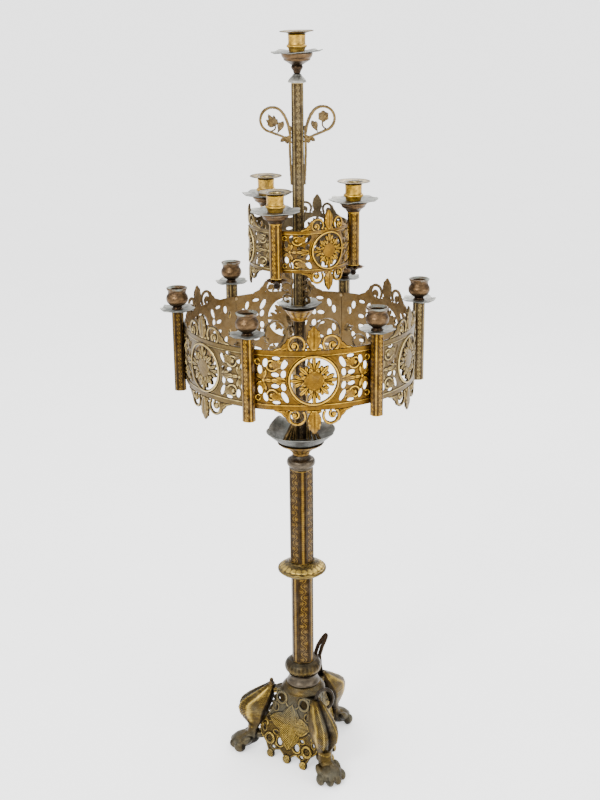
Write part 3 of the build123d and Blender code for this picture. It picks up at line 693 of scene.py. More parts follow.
disc_low, disc_top = span("collar_disc")
turned_piece("collar_disc", "collar_disc_embossed",
             [(0, disc_low), (28, disc_low), (31, disc_low + 1), (35, disc_low + 5), (43, disc_low + 7),
              (43, disc_low + 7), (44.5, disc_low + 9.5), (48.6, disc_low + 11), (49.5, disc_low + 14),
              (48, disc_low + 17), (44, disc_low + 17.5), (44, disc_low + 17.5), (42.5, disc_low + 20),
              (39, disc_low + 21.5), (34, disc_low + 24.5), (28, disc_low + 28), (26.5, disc_top),
              (26.5, disc_top), (0, disc_top)],
             BASE, beaded(disc_low + 17, disc_low + 24.5, 22, 1.0), segments=324, rounds=3)
neck_low, neck_top = span("neck_ring")
turned_piece("neck_ring", "neck_ring_turned",
             [(0, neck_low), (22, neck_low), (23, neck_low + 1), (23, neck_low + 5), (23, neck_low + 5),
              (26.5, neck_low + 7), (28.2, neck_low + 11), (28.3, neck_low + 16), (26, neck_low + 20.5),
              (22, neck_low + 22), (22, neck_low + 22), (19.5, neck_low + 24), (17, neck_top - 1),
              (17, neck_top),
              (0, neck_top)], IRON, rubbing_and_shade)
bell_low, bell_top = span("dish_bell")
turned_piece("dish_bell", "dish_bell_ribbed",
             [(0, bell_low), (17, bell_low), (17.2, bell_low + 3), (19, bell_low + 7), (25, bell_low + 13),
              (34, bell_low + 19), (43, bell_low + 23), (46, bell_low + 26), (46, bell_top), (0, bell_top)],
             GILT, petals(16, bell_low + 2, bell_top, 0.05), segments=192)
capital_low, capital_top = span("capital_bell")
turned_piece("capital_bell", "capital_bell_petalled",
             [(0, capital_low), (16.5, capital_low), (17, capital_low + 4), (18, capital_low + 8),
              (22.5, capital_low + 13), (26, capital_low + 18), (29, capital_low + 22),
              (33, capital_top - 1),
              (33, capital_top), (0, capital_top)],
             GILT, petals(12, capital_low + 3, capital_top, 0.08), segments=192)
cap_low, cap_top = span("top_cap")
turned_piece("top_cap", "top_cap_turned",
             [(0, cap_low), (15.5, cap_low), (16.8, cap_low + 1), (16.6, cap_low + 3.5), (12, cap_low + 9),
              (8.5, cap_low + 12.5), (7, cap_top), (0, cap_top)], PATINA, rubbing_and_shade)
stem_low, seat_top = span("top_bowl")
turned_piece("top_bowl", "top_bowl_turned",
             [(0, stem_low), (6.5, stem_low), (7, stem_low + 4), (10.8, stem_low + 10), (11, stem_low + 12),
              (9.6, stem_low + 14.5), (9.6, stem_low + 14.5), (16, stem_low + 19), (24, stem_low + 23.5),
              (24, stem_low + 23.5), (24.6, stem_low + 27), (27, stem_low + 29), (28.4, stem_low + 33),
              (28.6, seat_top), (28.6, seat_top), (0, seat_top)], COPPER, rubbing_and_shade)


# ---------------------------------------------------------------- dishes and pans
def sheet_pan(radius, floor, rise, seed, sheet=1.6, lobes=8, tilt=0.0, curl=None):
    """A dished pan of thin sheet whose edge runs in lobes and is a little bent out of true."""
    steps = np.linspace(0.02, 1, 26)
    t = np.linspace(0, 2 * np.pi, 160, endpoint=False)[None, :]
    share = steps[:, None]
    lobe = 0.5 + 0.5 * np.cos(lobes * t)
    crisp = 1 - np.abs(np.sin(lobes * t / 2)) ** 1.6
    r = radius * share * (1 - 0.09 * share ** 3 * (1 - crisp))
    z = floor + rise * np.clip((share - 0.42) / 0.58, 0, 1) ** 1.3
    z = z + share ** 4 * (1.7 * (lobe - 0.5) + 1.5 * ripple(np.cos(t) * 1.6 + seed, np.sin(t) * 1.6, seed))
    z = z + tilt * r * np.cos(t)
    if curl:
        z, r = curl(r, z, t, share)
    ribs = share ** 2 * np.cos(lobes * t) * 0.5
    x, y = r * np.cos(t), r * np.sin(t)
    top = np.stack([x, y, z + sheet], -1).reshape(-1, 3)
    under = np.stack([x, y, z + 0.15 * sheet * share], -1).reshape(-1, 3)
    rows, count = len(steps), t.shape[1]
    faces = grid_faces(rows, count, wrap_columns=True)
    faces += [f[::-1] for f in grid_faces(rows, count, wrap_columns=True, start=rows * count)]
    rim = (rows - 1) * count + np.arange(count)
    following = np.roll(rim, -1)
    faces += np.stack([rim, rim + rows * count, following + rows * count, following], -1).tolist()
    faces += [list(range(count))[::-1], list(range(rows * count, rows * count + count))]
    # top: painted highlight towards the lobed rim and on the lobes, with random unevenness; underside a flat
    # painted shade
    tone = 0.52 + 0.25 * share ** 3 + 0.22 * ribs + 0.15 * ripple(t * 3 + seed, share * 5, seed)
    relief = np.concatenate([tone.reshape(-1), np.full(rows * count, 0.12)])
    return np.vstack([top, under]), faces, relief


def pan_piece(node, name, radius, floor, rise, seed, where=(0, 0), **options):
    points, faces, relief = sheet_pan(radius, floor, rise, seed, **options)
    finish_piece(name, moved(points, *where), faces, relief, PATINA, [node])


TOP_FLOOR = span("top_drip_pan")[0]
PAN_RADIUS = (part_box("top_drip_pan")[1].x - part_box("top_drip_pan")[0].x) / 2 / MM
pan_piece("top_drip_pan", "top_drip_pan_sheet", PAN_RADIUS, TOP_FLOOR, 2, 5.0, tilt=0.035)
UPPER_FLOOR, LOWER_FLOOR = span("upper_pans")[0], span("lower_pans")[0]
for k, angle in enumerate(UPPER_ANGLES):
    pan_piece("upper_pans", f"upper_pan_{k + 1}_sheet", PAN_RADIUS, UPPER_FLOOR, 3.5, 1.0 + k,
              where=(UPPER_RADIUS, angle))
for k, angle in enumerate(LOWER_ANGLES):
    pan_piece("lower_pans", f"lower_pan_{k + 1}_sheet", 33, LOWER_FLOOR, 2.5, 11.0 + 1.7 * k,
              where=(LOWER_RADIUS, angle))
pan_piece("upper_dish", "upper_dish_sheet", 43, span("upper_dish")[0] + 3.4, 3.5, 31.0)


def big_dish():
    """The large dish: a deep wavy bowl of thin metal with one lobe curled up at the back."""
    low, high = span("lower_dish")
    radius, floor = 69, low + 5.5
    share = np.linspace(0.05, 1, 40)[:, None]
    t = np.linspace(0, 2 * np.pi, 240, endpoint=False)[None, :]
    lobe = np.abs(np.sin(3 * t + 0.5)) ** 0.7
    r = radius * share * (1 - 0.06 * share ** 3 * (1 - lobe))
    z = floor + (high - floor - 4) * np.clip((share - 0.5) / 0.5, 0,
                                             1) ** 1.4 + 2.5 * share ** 3 * (lobe - 0.5)
    curl = np.exp(-((np.mod(t - math.radians(140) + np.pi, 2 * np.pi) - np.pi) / 0.42) ** 2)
    bend = curl * np.clip((share - 0.72) / 0.28, 0, 1)
    z = z + 16 * bend ** 1.5
    r = r - 12 * bend ** 1.5
    x, y = r * np.cos(t), r * np.sin(t)
    top = np.stack([x, y, z + 1.8], -1).reshape(-1, 3)
    drop = np.where(share < 0.66, floor - low, 0.3 + (floor - low) * np.clip((0.95 - share) / 0.3, 0, 1))
    under = np.stack([x, y, z - drop * (share < 0.97)], -1).reshape(-1, 3)
    rows, count = 40, 240
    faces = grid_faces(rows, count, wrap_columns=True)
    faces += [f[::-1] for f in grid_faces(rows, count, wrap_columns=True, start=rows * count)]
    rim = (rows - 1) * count + np.arange(count)
    following = np.roll(rim, -1)
    faces += np.stack([rim, rim + rows * count, following + rows * count, following], -1).tolist()
    faces += [list(range(count))[::-1], list(range(rows * count, rows * count + count))]
    # painted highlight on the rim and the curled lobe, with random unevenness; underside a flat painted
    # shade
    tone = 0.40 + 0.3 * share ** 5 + 0.3 * bend + 0.12 * ripple(t * 3, share * 6, 2.0)
    relief = np.concatenate([tone.reshape(-1), np.full(rows * count, 0.25)])
    finish_piece("lower_dish_sheet", np.vstack([top, under]), faces, relief, PATINA,
                 ["lower_dish"])


big_dish()


# ---------------------------------------------------------------- candle lights
def repeated(node, prefix, outline, material, radius, angles, shape=None, film_above=None):
    points, faces, relief = lathe(outline, 96, shape)
    film = None if film_above is None else np.where(points[:, 2] > film_above, 0.36, -0.1)
    mesh = None
    for k, angle in enumerate(angles):
        piece = finish_piece(f"{prefix}_{k + 1}", moved(points, radius, 0), faces, relief, material,
                             [node],
                             angle=angle, share=mesh, film=film)
        mesh = piece.data


def socket_outline(floor, top, bore):
    return [(0, floor), (13.5, floor), (14, floor + 1), (15.2, floor + 6), (16, floor + 7.5),
            (16, floor + 7.5),
            (18.4, floor + 9), (18.6, floor + 11), (17.5, floor + 12.6), (15.9, floor + 13.6),
            (15.9, floor + 13.6), (15.4, floor + 16), (15.6, top - 3), (16.2, top - 1), (15.8, top),
            (bore, top), (bore, top), (bore, floor + 5), (bore, floor + 5), (0, floor + 5)]


def nozzle_outline(low, rim, bore, tube, flange):
    return [(0, low), (tube, low), (tube, low), (tube, rim - 6.4), (15.6, rim - 6.4), (16.4, rim - 5),
            (19, rim - 3.6), (25, rim - 2.2), (flange - 0.6, rim - 1.4), (flange, rim - 0.7),
            (flange - 0.8, rim),
            (25, rim - 1.0), (17, rim - 1.8), (bore + 1, rim - 2.6), (bore, rim - 4), (bore, rim - 4),
            (bore, low + 2), (bore, low + 2), (0, low + 2)]


def flange_shape(rim, seed, tilt=0.0):
    """A thin flared rim, bent a little out of true, with painted shade on its tube and under the flare."""
    def shape(r, z, t, relief):
        share = np.clip((r - 16) / 15, 0, 1)
        z = z + share ** 2 * (0.35 * ripple(t * 1.5 + seed, 0 * t,
                                            seed) - 0.35) + tilt * share * r * np.cos(t)
        r = r * (1 + 0.012 * share * np.cos(3 * t + seed))
        # painted shade on the tube and under the flare; the flare darker towards its edge, with random
        # unevenness
        relief = 0.72 - 0.45 * share ** 2 + 0.16 * ripple(t * 4, r * 0.3, seed)
        return r, z, np.where((z < rim - 1.9) & (r > 12.4), 0.2, relief)
    return shape


cup_low, cup_top = span("top_cup")
turned_piece("top_cup", "top_cup_turned", socket_outline(cup_low, cup_top, 13.5), GILT, rubbing_and_shade)
nozzle_low, nozzle_rim = span("top_nozzle")
points, faces, relief = lathe(nozzle_outline(nozzle_low, nozzle_rim, 12, 13.1, 31), 96,
                              flange_shape(nozzle_rim, 3.0, 0.02))
finish_piece("top_nozzle_flared", points, faces, relief, DULL, ["top_nozzle"],
             body="top_nozzle",
             angle=RING_TURN)
cup_low, cup_top = span("upper_cups")
repeated("upper_cups", "upper_cup", socket_outline(cup_low, cup_top, 13.5), GILT, UPPER_RADIUS,
         UPPER_ANGLES, rubbing_and_shade)
for k, angle in enumerate(UPPER_ANGLES):
    node = f"upper_nozzle_{k + 1}"
    nozzle_low, nozzle_rim = span(node)
    points, faces, relief = lathe(nozzle_outline(nozzle_low, nozzle_rim, 12, 13.1, 31), 96,
                                  flange_shape(nozzle_rim, 7.0 + k))
    finish_piece(f"{node}_flared", moved(points, UPPER_RADIUS, angle), faces, relief, DULL,
                 [node],
                 body=node)

urn_low, urn_top = span("lower_cups")
well = urn_top - 30
repeated("lower_cups", "lower_cup",
         [(0, urn_low), (11, urn_low), (11.2, urn_low + 1.6), (9, urn_low + 3), (8.4, urn_low + 5),
          (9.6, urn_low + 6.6), (15, urn_low + 9.5), (19.6, urn_low + 14.5), (21, urn_low + 20),
          (20.4, urn_low + 25),
          (17.6, urn_low + 29.5), (16.4, urn_low + 32), (16.4, urn_low + 32), (17.4, urn_low + 33),
          (16.8, urn_low + 34.5), (18, urn_low + 37), (19.8, urn_top - 2), (19.8, urn_top - 0.8),
          (18.4, urn_top), (16.5, urn_top - 0.3), (12.5, urn_top - 4),
          (12.5, urn_top - 4), (12.5, well), (12.5, well), (0, well)],
         COPPER, LOWER_RADIUS, LOWER_ANGLES, rubbing_and_shade, film_above=urn_top - 3.5)
bowl_low, bowl_top = span("upper_bowls")
repeated("upper_bowls", "upper_bowl",
         [(0, bowl_low), (13, bowl_low), (13.4, bowl_low + 2.5), (16, bowl_low + 5.5),
          (20.5, bowl_low + 8.5),
          (20.5, bowl_low + 8.5), (22, bowl_low + 9.5), (23, bowl_low + 13), (25.5, bowl_low + 15),
          (26, bowl_top),
          (0, bowl_top)], COPPER, UPPER_RADIUS, UPPER_ANGLES, rubbing_and_shade)


def leaf_tips(low, high):
    """A calyx whose eight leaf tips flare out below the tube, with a pendant under it."""
    def shape(r, z, t, relief):
        part = np.clip((z - low - 8) / (high - low - 8), 0, 1)
        tip = np.abs(np.cos(4 * t)) ** 1.5
        r = r * (1 + part * (0.5 * tip - 0.28))
        z = z - 4.0 * part ** 2 * tip
        # painted highlight on the flared leaf tips, darker towards the pendant
        return r, z, 0.2 + 0.35 * part + 0.3 * tip * part
    return shape


calyx_low, calyx_top = span("upper_finials")
repeated("upper_finials", "upper_finial",
         [(0, calyx_low), (3, calyx_low), (5.5, calyx_low + 3), (6, calyx_low + 5), (4.6, calyx_low + 8),
          (7, calyx_low + 11), (12, calyx_low + 15), (17, calyx_low + 18), (19, calyx_low + 18.6),
          (15, calyx_top), (0, calyx_top)],
         COPPER, UPPER_RADIUS, UPPER_ANGLES, leaf_tips(calyx_low, calyx_top))


# ---------------------------------------------------------------- scroll brackets
def canvas(left, right, low, high, step):
    x, z = np.meshgrid(np.arange(left, right, step), np.arange(low, high, step), indexing="ij")
    return Relief(x, z)


def bracket(node, name, drawing, step, angle, material=BRACKET):
    """A flat bracket in a plane through the column, with the same relief on both faces."""
    def place(x, z, h):
        return np.stack([x, -h, z], -1)
    points, faces, relief = plate(drawing.x, drawing.y, drawing.depth, drawing.height, place, step, 4.2,
                                  double=True)
    # raised bars painted brighter than the ground: painted highlight, with random unevenness
    relief = 0.25 + 0.5 * relief + 0.1 * ripple(points[:, 0] * 0.3, points[:, 2] * 0.3, 4.0)
    return finish_piece(name, points, faces, relief, material, [node], angle=angle)


def bar(drawing, points, width, half, end_width=None):
    """A flat bar bent along some points; half is half its width across the bracket."""
    drawing.stroke(rounded(points, 3), width, end_width or width, 0.25, half - 0.25)


def lower_arm_drawing(step):
    """Large bracket: foot like a fish tail, straight strap, then curls out to the ring."""
    floor = span("lower_arm_1")[0]
    d = canvas(8, 218, -1, 262, step)
    bar(d, [(14.5, 0), (14.5, 34), (14.5, 74), (14.5, 146)], 3.5, 4)
    bar(d, [(14.5, 139), (17, 158), (26, 175), (61, 193), (122, 195), (170, 184), (216, 187.5)], 3.8, 3.6)
    d.stroke(arc(61, 223, 30, 270, -50, 44, 19), 4.0, 3.2, 0.3, 3.6)
    d.stroke(arc(122, 211, 16, 270, -70, 30, 9), 3.8, 2.8, 0.3, 3.4)
    d.stroke(arc(165, 172, 13, 95, -190, 24, 8), 3.4, 2.6, 0.3, 3.0)
    for turn, length in ((-30, 15), (0, 20), (30, 15)):
        d.leaf(91, 230, 25 + turn, length, 6, 1.6, 1.6)
        d.leaf(138, 214, 20 + turn, length * 0.75, 5, 1.4, 1.4)
    d.leaf(33, 224, 150, 15, 5, 1.4, 1.4)
    d.disc(77, 214, 4.2, 1.5, 2.4)
    d.disc(125, 203, 3.2, 1.4, 2.2)
    d.disc(161, 168, 2.8, 1.4, 2.2)
    for end, width in (((21, -2), 5), ((31, -2), 5), ((42, -1), 6)):
        d.stroke(rounded([(15, 40), (15 + (end[0] - 15) * 0.45, 24), end]), 2.6, width, 1.2, 2.2)
    d.leaf(15, 74, 62, 26, 8, 1.6, 1.6)
    d.depth = np.minimum(d.depth, np.minimum(d.y, 217 - d.x))
    d.y = d.y + floor
    return d


def upper_arm_drawing(step):
    """Small bracket: curls with ball ends beside the stem, then one more under the ring."""
    floor = span("upper_arm_1")[0]
    d = canvas(8, 92, -1, 146, step)
    bar(d, [(14.2, 0), (14.2, 34), (14.2, 76)], 3, 3.5)
    bar(d, [(14.2, 70), (18, 96), (28, 106), (55, 116), (88.4, 121)], 3, 3.2)
    d.stroke(arc(25, 34, 9.5, 190, -120, 24, 7), 3, 2.6, 0.3, 3)
    d.stroke(arc(50, 128, 12, -100, 190, 24, 9), 3, 2.6, 0.3, 3)
    d.stroke(arc(24, 13, 8, 160, -100, 20, 6), 2.8, 2.4, 0.3, 2.8)
    d.disc(23, 26, 3.6, 1.4, 2.2)
    d.disc(22, 7.5, 3.4, 1.4, 2.2)
    d.disc(41, 125, 3.2, 1.4, 2.2)
    d.leaf(15, 49, 50, 20, 7, 1.6, 1.4)
    d.leaf(33, 37, 20, 10, 5, 1.4, 1.4)
    d.depth = np.minimum(d.depth, np.minimum(d.y, 89.3 - d.x))
    d.y = d.y + floor
    return d


def trefoil(d, x, y, size, turn):
    for side in (-72, 0, 72):
        d.leaf(x, y, turn + side, size, size * 0.62, 1.8, 1.2, tip=1.1)
    d.disc(x, y, size * 0.25, 1.2, 2.0)


def top_scroll_drawing(step, leafy):
    """One of the two flat-bar scrolls near the top, with a leaf and a bud inside its loop."""
    low = span("top_scroll_left")[0]
    d = canvas(7, 75, -1, 149, step)
    bar(d, [(11.8, 0), (14.0, 36), (14.6, 70), (13.6, 104)], 4.6, 3.3)
    d.stroke(np.vstack([rounded([(14, 92), (18, 112), (25, 127)]), arc(46, 118, 22, 157, -78, 30),
                        rounded([(50, 96), (40, 92), (26, 87), (13, 77)])]), 5.4, 4.0, 0.3, 3.2)
    if leafy:
        for turn, length, width in ((0, 25, 9), (24, 20, 8), (-24, 20, 8), (48, 14, 7), (-48, 14, 7)):
            d.leaf(42, 106, 62 + turn, length, width, 2.0, 1.2, tip=1.1)
        d.stroke(rounded([(50, 96), (40, 101), (41, 108)]), 2.8, 2.4, 0.4, 1.6)
    else:
        for turn in range(0, 360, 60):
            d.leaf(47.5, 122, turn + 30, 10.5, 9, 1.6, 1.6, tip=1.4)
        d.disc(47.5, 122, 5.5, 1.2, 2.4)
        d.stroke(rounded([(54, 98), (45, 104), (46, 116)]), 2.8, 2.4, 0.4, 1.6)
    d.leaf(38, 92, 118, 26, 10, 2.0, 1.3, tip=1.7)
    d.leaf(36, 99, 100, 15, 6, 1.6, 1.6, tip=1.4)
    trefoil(d, 22.5, 85, 12, 250)
    d.y = d.y + low
    return d


arm_relief, small_arm_relief = lower_arm_drawing(0.9), upper_arm_drawing(0.6)
for k in range(3):
    bracket(f"lower_arm_{k + 1}", f"lower_arm_{k + 1}_scroll", arm_relief, 0.9, RING_TURN + 90 + 120 * k)
    bracket(f"upper_arm_{k + 1}", f"upper_arm_{k + 1}_scroll", small_arm_relief, 0.6,
            RING_TURN + 60 + 120 * k)
bracket("top_scroll_right", "top_scroll_right_leaf", top_scroll_drawing(0.5, False), 0.5, RING_TURN)
bracket("top_scroll_left", "top_scroll_left_leaf", top_scroll_drawing(0.5, True), 0.5, RING_TURN + 180)


# ---------------------------------------------------------------- base sides
def inside_outline(x, y, corners):
    """Distance inside a closed outline, negative outside it."""
    corners = np.asarray(corners, float)
    away = np.full(x.shape, 1e3)
    inside = np.zeros(x.shape, bool)
    for a, b in zip(corners, np.roll(corners, -1, axis=0)):
        e = b - a
        t = np.clip(((x - a[0]) * e[0] + (y - a[1]) * e[1]) / (e @ e), 0, 1)
        away = np.minimum(away, np.hypot(x - a[0] - t * e[0], y - a[1] - t * e[1]))
        if a[1] != b[1]:
            crosses = ((a[1] > y) != (b[1] > y)) & (x < a[0] + e[0] * (y - a[1]) / e[1])
            inside ^= crosses
    return np.where(inside, away, -away)


SIDE_OUTLINE = [(44, 150), (43, 122), (53, 98), (69, 72), (76, 54), (72, 38), (58, 26), (51, 12), (46, 2),
                (38, 2), (32, 14), (20, 18), (10, 10), (6, 0)]


def side_drawing(step):
    """One side of the base: two holes, a three-lobed leaf, scroll rings and three blob feet."""
    x, y = np.meshgrid(np.arange(-82, 82.01, step), np.arange(-6, 152, step), indexing="ij")
    half = np.abs(x)
    corners = SIDE_OUTLINE + [(-px, py) for px, py in reversed(SIDE_OUTLINE)]
    d = Relief(half, y)
    d.depth = inside_outline(x, y, corners)
    for cx, cy, rx, ry in ((28, 133, 9, 9), (40, 108, 5, 6), (54, 80, 6, 4.5), (22, 36, 6, 8),
                           (48, 36, 6, 6),
                           (8, 108, 2, 5), (63, 56, 3, 5), (33, 54, 4, 3), (36, 20, 4, 3)):
        d.depth = np.minimum(d.depth, (np.hypot((half - cx) / rx, (y - cy) / ry) - 1) * min(rx, ry))
    border = np.exp(-((d.depth - 2.2) / 1.2) ** 2)
    d.height = 2.6 + 1.3 * border + 0.6 * ripple(x * 1.3, y * 1.4, 1.0) + 0.4 * ripple(x * 2.1, y * 1.9, 2.0)
    d.ring(28, 133, 12, 5.5, 1.8, 3.0)
    d.ring(48, 36, 10.5, 6, 2.6, 3.0)
    for turn in range(0, 360, 72):
        d.leaf(48, 36, turn + 18, 6.5, 5, 1.2, 2.4)
    d.stroke(arc(22, 36, 12, 60, 330, 24, 10), 4.5, 3.5, 2.0, 2.8)
    d.leaf(0, 66, 90, 58, 46, 3.4, 3.4, tip=0.9)
    d.leaf(-12, 78, 6, 64, 40, 3.4, 3.4, tip=1.0)
    d.leaf(0, 96, -90, 72, 52, 3.4, 3.6, tip=0.9)
    d.leaf(38, 100, 64, 24, 12, 2.0, 2.8)
    d.stroke(rounded([(4, 116), (16, 122), (20, 140)]), 3.4, 3.0, 1.6, 3.0)
    d.stroke(arc(62, 66, 8, -40, 200, 18, 6), 4.0, 3.2, 1.8, 2.8)
    d.disc(42, 4, 9.5, 5, 3.0)
    d.disc(0, 4, 10, 6, 3.0)
    d.depth = np.minimum(d.depth, 150 - d.y)
    return x, y, d


def beads_along(d, x, y, points, size, rise):
    """Small round beads set close together along a line."""
    points = rounded(points, 3)
    lengths = np.concatenate([[0], np.cumsum(np.hypot(*np.diff(points, axis=0).T))])
    for at in np.arange(0, lengths[-1], 2.1 * size):
        px, py = np.interp(at, lengths, points[:, 0]), np.interp(at, lengths, points[:, 1])
        bead = dome(size - np.hypot(np.abs(x) - px, y - py), size)
        d.height = d.height + rise * bead * (d.depth > 0)


def base_side(step=0.8):
    x, y, d = side_drawing(step)
    raised = np.clip((d.height - 4.2) / 1.5, 0, 1)
    for line in ([(0, 124), (12, 108), (16, 90)], [(16, 90), (34, 94), (50, 84)],
                 [(50, 84), (36, 68), (17, 70)],
                 [(17, 70), (12, 46), (0, 26)]):
        beads_along(d, x, y, line, 1.3, 1.3)
    d.height += raised * (0.7 * np.sin((y + 1.5 * np.abs(x)) * 1.1) + 0.6 * ripple(x * 1.1, y * 1.0, 4.0))
    height = np.clip(d.height, 1.0, 13)
    lean = math.atan2(SIDE_LOW - SIDE_TOP, SIDE_RISE)

    def place(px, py, h):
        out = SIDE_LOW - py * math.sin(lean) + (h - 6) * math.cos(lean)
        up = SIDE_FOOT + py * math.cos(lean) + (h - 6) * math.sin(lean)
        return np.stack([out, px, up], -1)

    points, faces, relief = plate(x, y, d.depth, height, place, step, 8.0)
    points[:, 2] = np.maximum(points[:, 2], 0)
    front = np.where(np.arange(len(points)) < len(points) // 2, -0.1, -0.4)
    film = front + 0.4 * np.clip((points[:, 2] - 60) / 40, 0, 1)
    mesh = None
    for k in range(3):
        piece = finish_piece(f"base_panel_{k + 1}_casting", points, faces, relief, BASE,
                             [f"base_panel_{k + 1}"], angle=LEG_ANGLE + 60 + 120 * k, share=mesh, film=film)
        mesh = piece.data


SIDE_TOP, SIDE_LOW, SIDE_FOOT = 38, 66, 4
SIDE_RISE = span("base_crown")[0] - SIDE_FOOT
base_side()


# ---------------------------------------------------------------- legs
def loft(rows, closed_columns=True):
    """Closed mesh through rows of points, capped at both ends."""
    rows = np.asarray(rows, float)
    count, around = rows.shape[:2]
    faces = grid_faces(count, around, wrap_columns=closed_columns)
    faces += [list(range(around)), list(range((count - 1) * around, count * around))[::-1]]
    return rows.reshape(-1, 3), faces


def blob(centre, radii, lean=0.0, rings=20, around=28):
    """An egg-shaped lump, leaning forward in the leg's plane."""
    v = np.linspace(0.02, np.pi - 0.02, rings)[:, None]
    u = np.linspace(0, 2 * np.pi, around, endpoint=False)[None, :]
    x, y, z = (radii[0] * np.sin(v) * np.cos(u), radii[1] * np.sin(v) * np.sin(u),
               radii[2] * np.cos(v) + 0 * u)
    c, s = math.cos(math.radians(lean)), math.sin(math.radians(lean))
    rows = np.stack([x * c + z * s + centre[0], y + centre[1], -x * s + z * c + centre[2]], -1)
    return loft(rows)


def merged(parts):
    points, faces, start = [], [], 0
    for part_points, part_faces in parts:
        points.append(part_points)
        faces += [[i + start for i in face] for face in part_faces]
        start += len(part_points)
    return np.vstack(points), faces


def melted(points, faces, voxel, rounds):
    """Runs overlapping lumps together into one skin, as a casting does; points in mm."""
    mesh = bpy.data.meshes.new("lumps")
    mesh.from_pydata((points * MM).tolist(), [], faces)
    lump = bpy.data.objects.new("lumps", mesh)
    bpy.context.scene.collection.objects.link(lump)
    remesh = lump.modifiers.new("skin", "REMESH")
    remesh.mode = "VOXEL"
    remesh.voxel_size = voxel * MM
    smooth = lump.modifiers.new("soften", "SMOOTH")
    smooth.iterations = rounds
    evaluated = lump.evaluated_get(bpy.context.evaluated_depsgraph_get())
    skin = evaluated.to_mesh()
    coords = np.array([v.co for v in skin.vertices]) / MM
    normals = np.array([v.normal for v in skin.vertices])
    polygons = [list(p.vertices) for p in skin.polygons]
    evaluated.to_mesh_clear()
    bpy.data.objects.remove(lump)
    return coords, normals, polygons


def leg_body():
    """Haunch, ankle and paw of a leg that points along +x, before the detail is cut."""
    heights = np.array([28, 40, 50, 60, 72, 88, 102, 114, 126, 138, 148, 156])
    outer = np.array([122, 121, 119, 119, 127, 138, 141, 136, 122, 103, 86, 75])
    inner = np.array([98, 97, 96, 90, 81, 75, 70, 65, 62, 60, 60, 60])
    half = np.array([15, 14, 14.5, 16.5, 20.5, 25.5, 27, 26, 22, 17, 13, 9.5])
    z = np.linspace(26, 156, 70)
    rows = []
    for height in z:
        out, back, w = (np.interp(height, heights, values) for values in (outer, inner, half))
        t = np.linspace(0, 2 * np.pi, 48, endpoint=False)
        across = w * np.sin(t)
        front = np.cos(t) > 0
        depth = out - back
        lobes = 1 - 0.22 * np.exp(-(across / (0.22 * w)) ** 2) * np.clip((height - 60) / 20, 0, 1)
        reach = np.where(front, back + depth * (0.30 + 0.70 * np.abs(np.cos(t)) ** 0.75 * lobes),
                         back + depth * 0.30 * (1 - np.abs(np.cos(t)) ** 0.8))
        rows.append(np.stack([reach, across, np.full_like(t, height)], -1))
    lumps = [loft(rows), blob((128, 0, 20), (27, 25, 15), 8), blob((112, 0, 26), (18, 17, 16), 0)]
    for x, y in ((146, 8.5), (146, -8.5), (134, 24), (134, -24)):
        lumps.append(blob((x, y, 12), (12.5, 8.2, 11.8), 10))
        lumps.append(blob((x - 13, y * 0.82, 25), (15, 7.6, 8.5), 30))
    lumps.append(loft([[(x, y, h) for x, y in ((74, -10), (74, 10), (38, 10), (38, -10))] for h in (139,
                                                                                                    149)]))
    lumps.append(blob((92, 0, 34), (14, 13, 9), 0))
    return merged(lumps)


def leg_detail(points, normals):
    """Feathered veins on the haunch wings, a beaded ankle line and toes showing wear; the tone is painted
    highlight on veins and beads and painted shade in the middle valley, between the toes and on the inward
    faces.
    """
    x, y, z = points.T
    across = np.abs(y)
    wing = np.clip((z - 66) / 8, 0, 1) * np.clip((152 - z) / 6, 0, 1) * (normals[:, 0] > -0.2)
    half = np.interp(z, [45, 60, 88, 102, 126, 156], [14, 16.5, 25.5, 27, 22, 10])
    share = np.clip(across / half, 0, 1)
    veins = np.sin((z * 0.9 - across * 1.5) * 1.25) * np.exp(-((share - 0.55) / 0.28) ** 2)
    stem = np.exp(-((across - 0.55 * half) / 0.9) ** 2)
    border = np.exp(-((share - 0.93) / 0.05) ** 2)
    beads = np.exp(-((z - 50 - 0.35 * across) / 1.6) ** 2) * (0.5 + 0.5 * np.cos(across * 2.2))
    grain = ripple(y * 1.6 + x, z * 1.7, 3.0)
    lift = wing * (0.6 * veins + 0.7 * stem + 0.8 * border + 0.2 * grain) + 0.8 * beads
    knuckles = (z < 34) * 0.12 * grain
    points = points + normals * (lift + knuckles)[:, None]
    # painted shade in the valley down the middle of the haunch; painted highlight on veins, stems, borders
    # and beads
    valley = np.exp(-(across / 4.5) ** 2) * (z > 66)
    relief = 0.42 + 0.36 * wing * (veins * 0.7 + stem + border) - 0.32 * valley + 0.3 * beads
    # painted shade in the gaps between the toes
    outer_gap = 0.22 * np.exp(-((across - 13.5) / 1.6) ** 2) * (z < 24)
    relief -= outer_gap + 0.22 * np.exp(-(across / 1.6) ** 2) * (z < 24)
    # painted shade on the faces turned in towards the column
    relief += 0.14 * grain - 0.25 * (normals[:, 0] < -0.3)
    aged = 0.25 * np.clip((48 - z) / 16, 0, 1) + 0.25 * wing * np.exp(-((share - 0.35) / 0.25) ** 2) - 0.1
    return points, np.clip(relief, 0, 1), aged


def legs():
    coords, normals, polygons = melted(*leg_body(), voxel=1.15, rounds=5)
    points, relief, aged = leg_detail(coords, normals)
    points[:, 2] = np.maximum(points[:, 2], 0)
    mesh = None
    for k in range(3):
        piece = finish_piece(f"leg_{k + 1}_casting", points, polygons, relief, BASE,
                             [f"leg_{k + 1}"],
                             angle=LEG_ANGLE + 120 * k, share=mesh, film=aged)
        mesh = piece.data


legs()


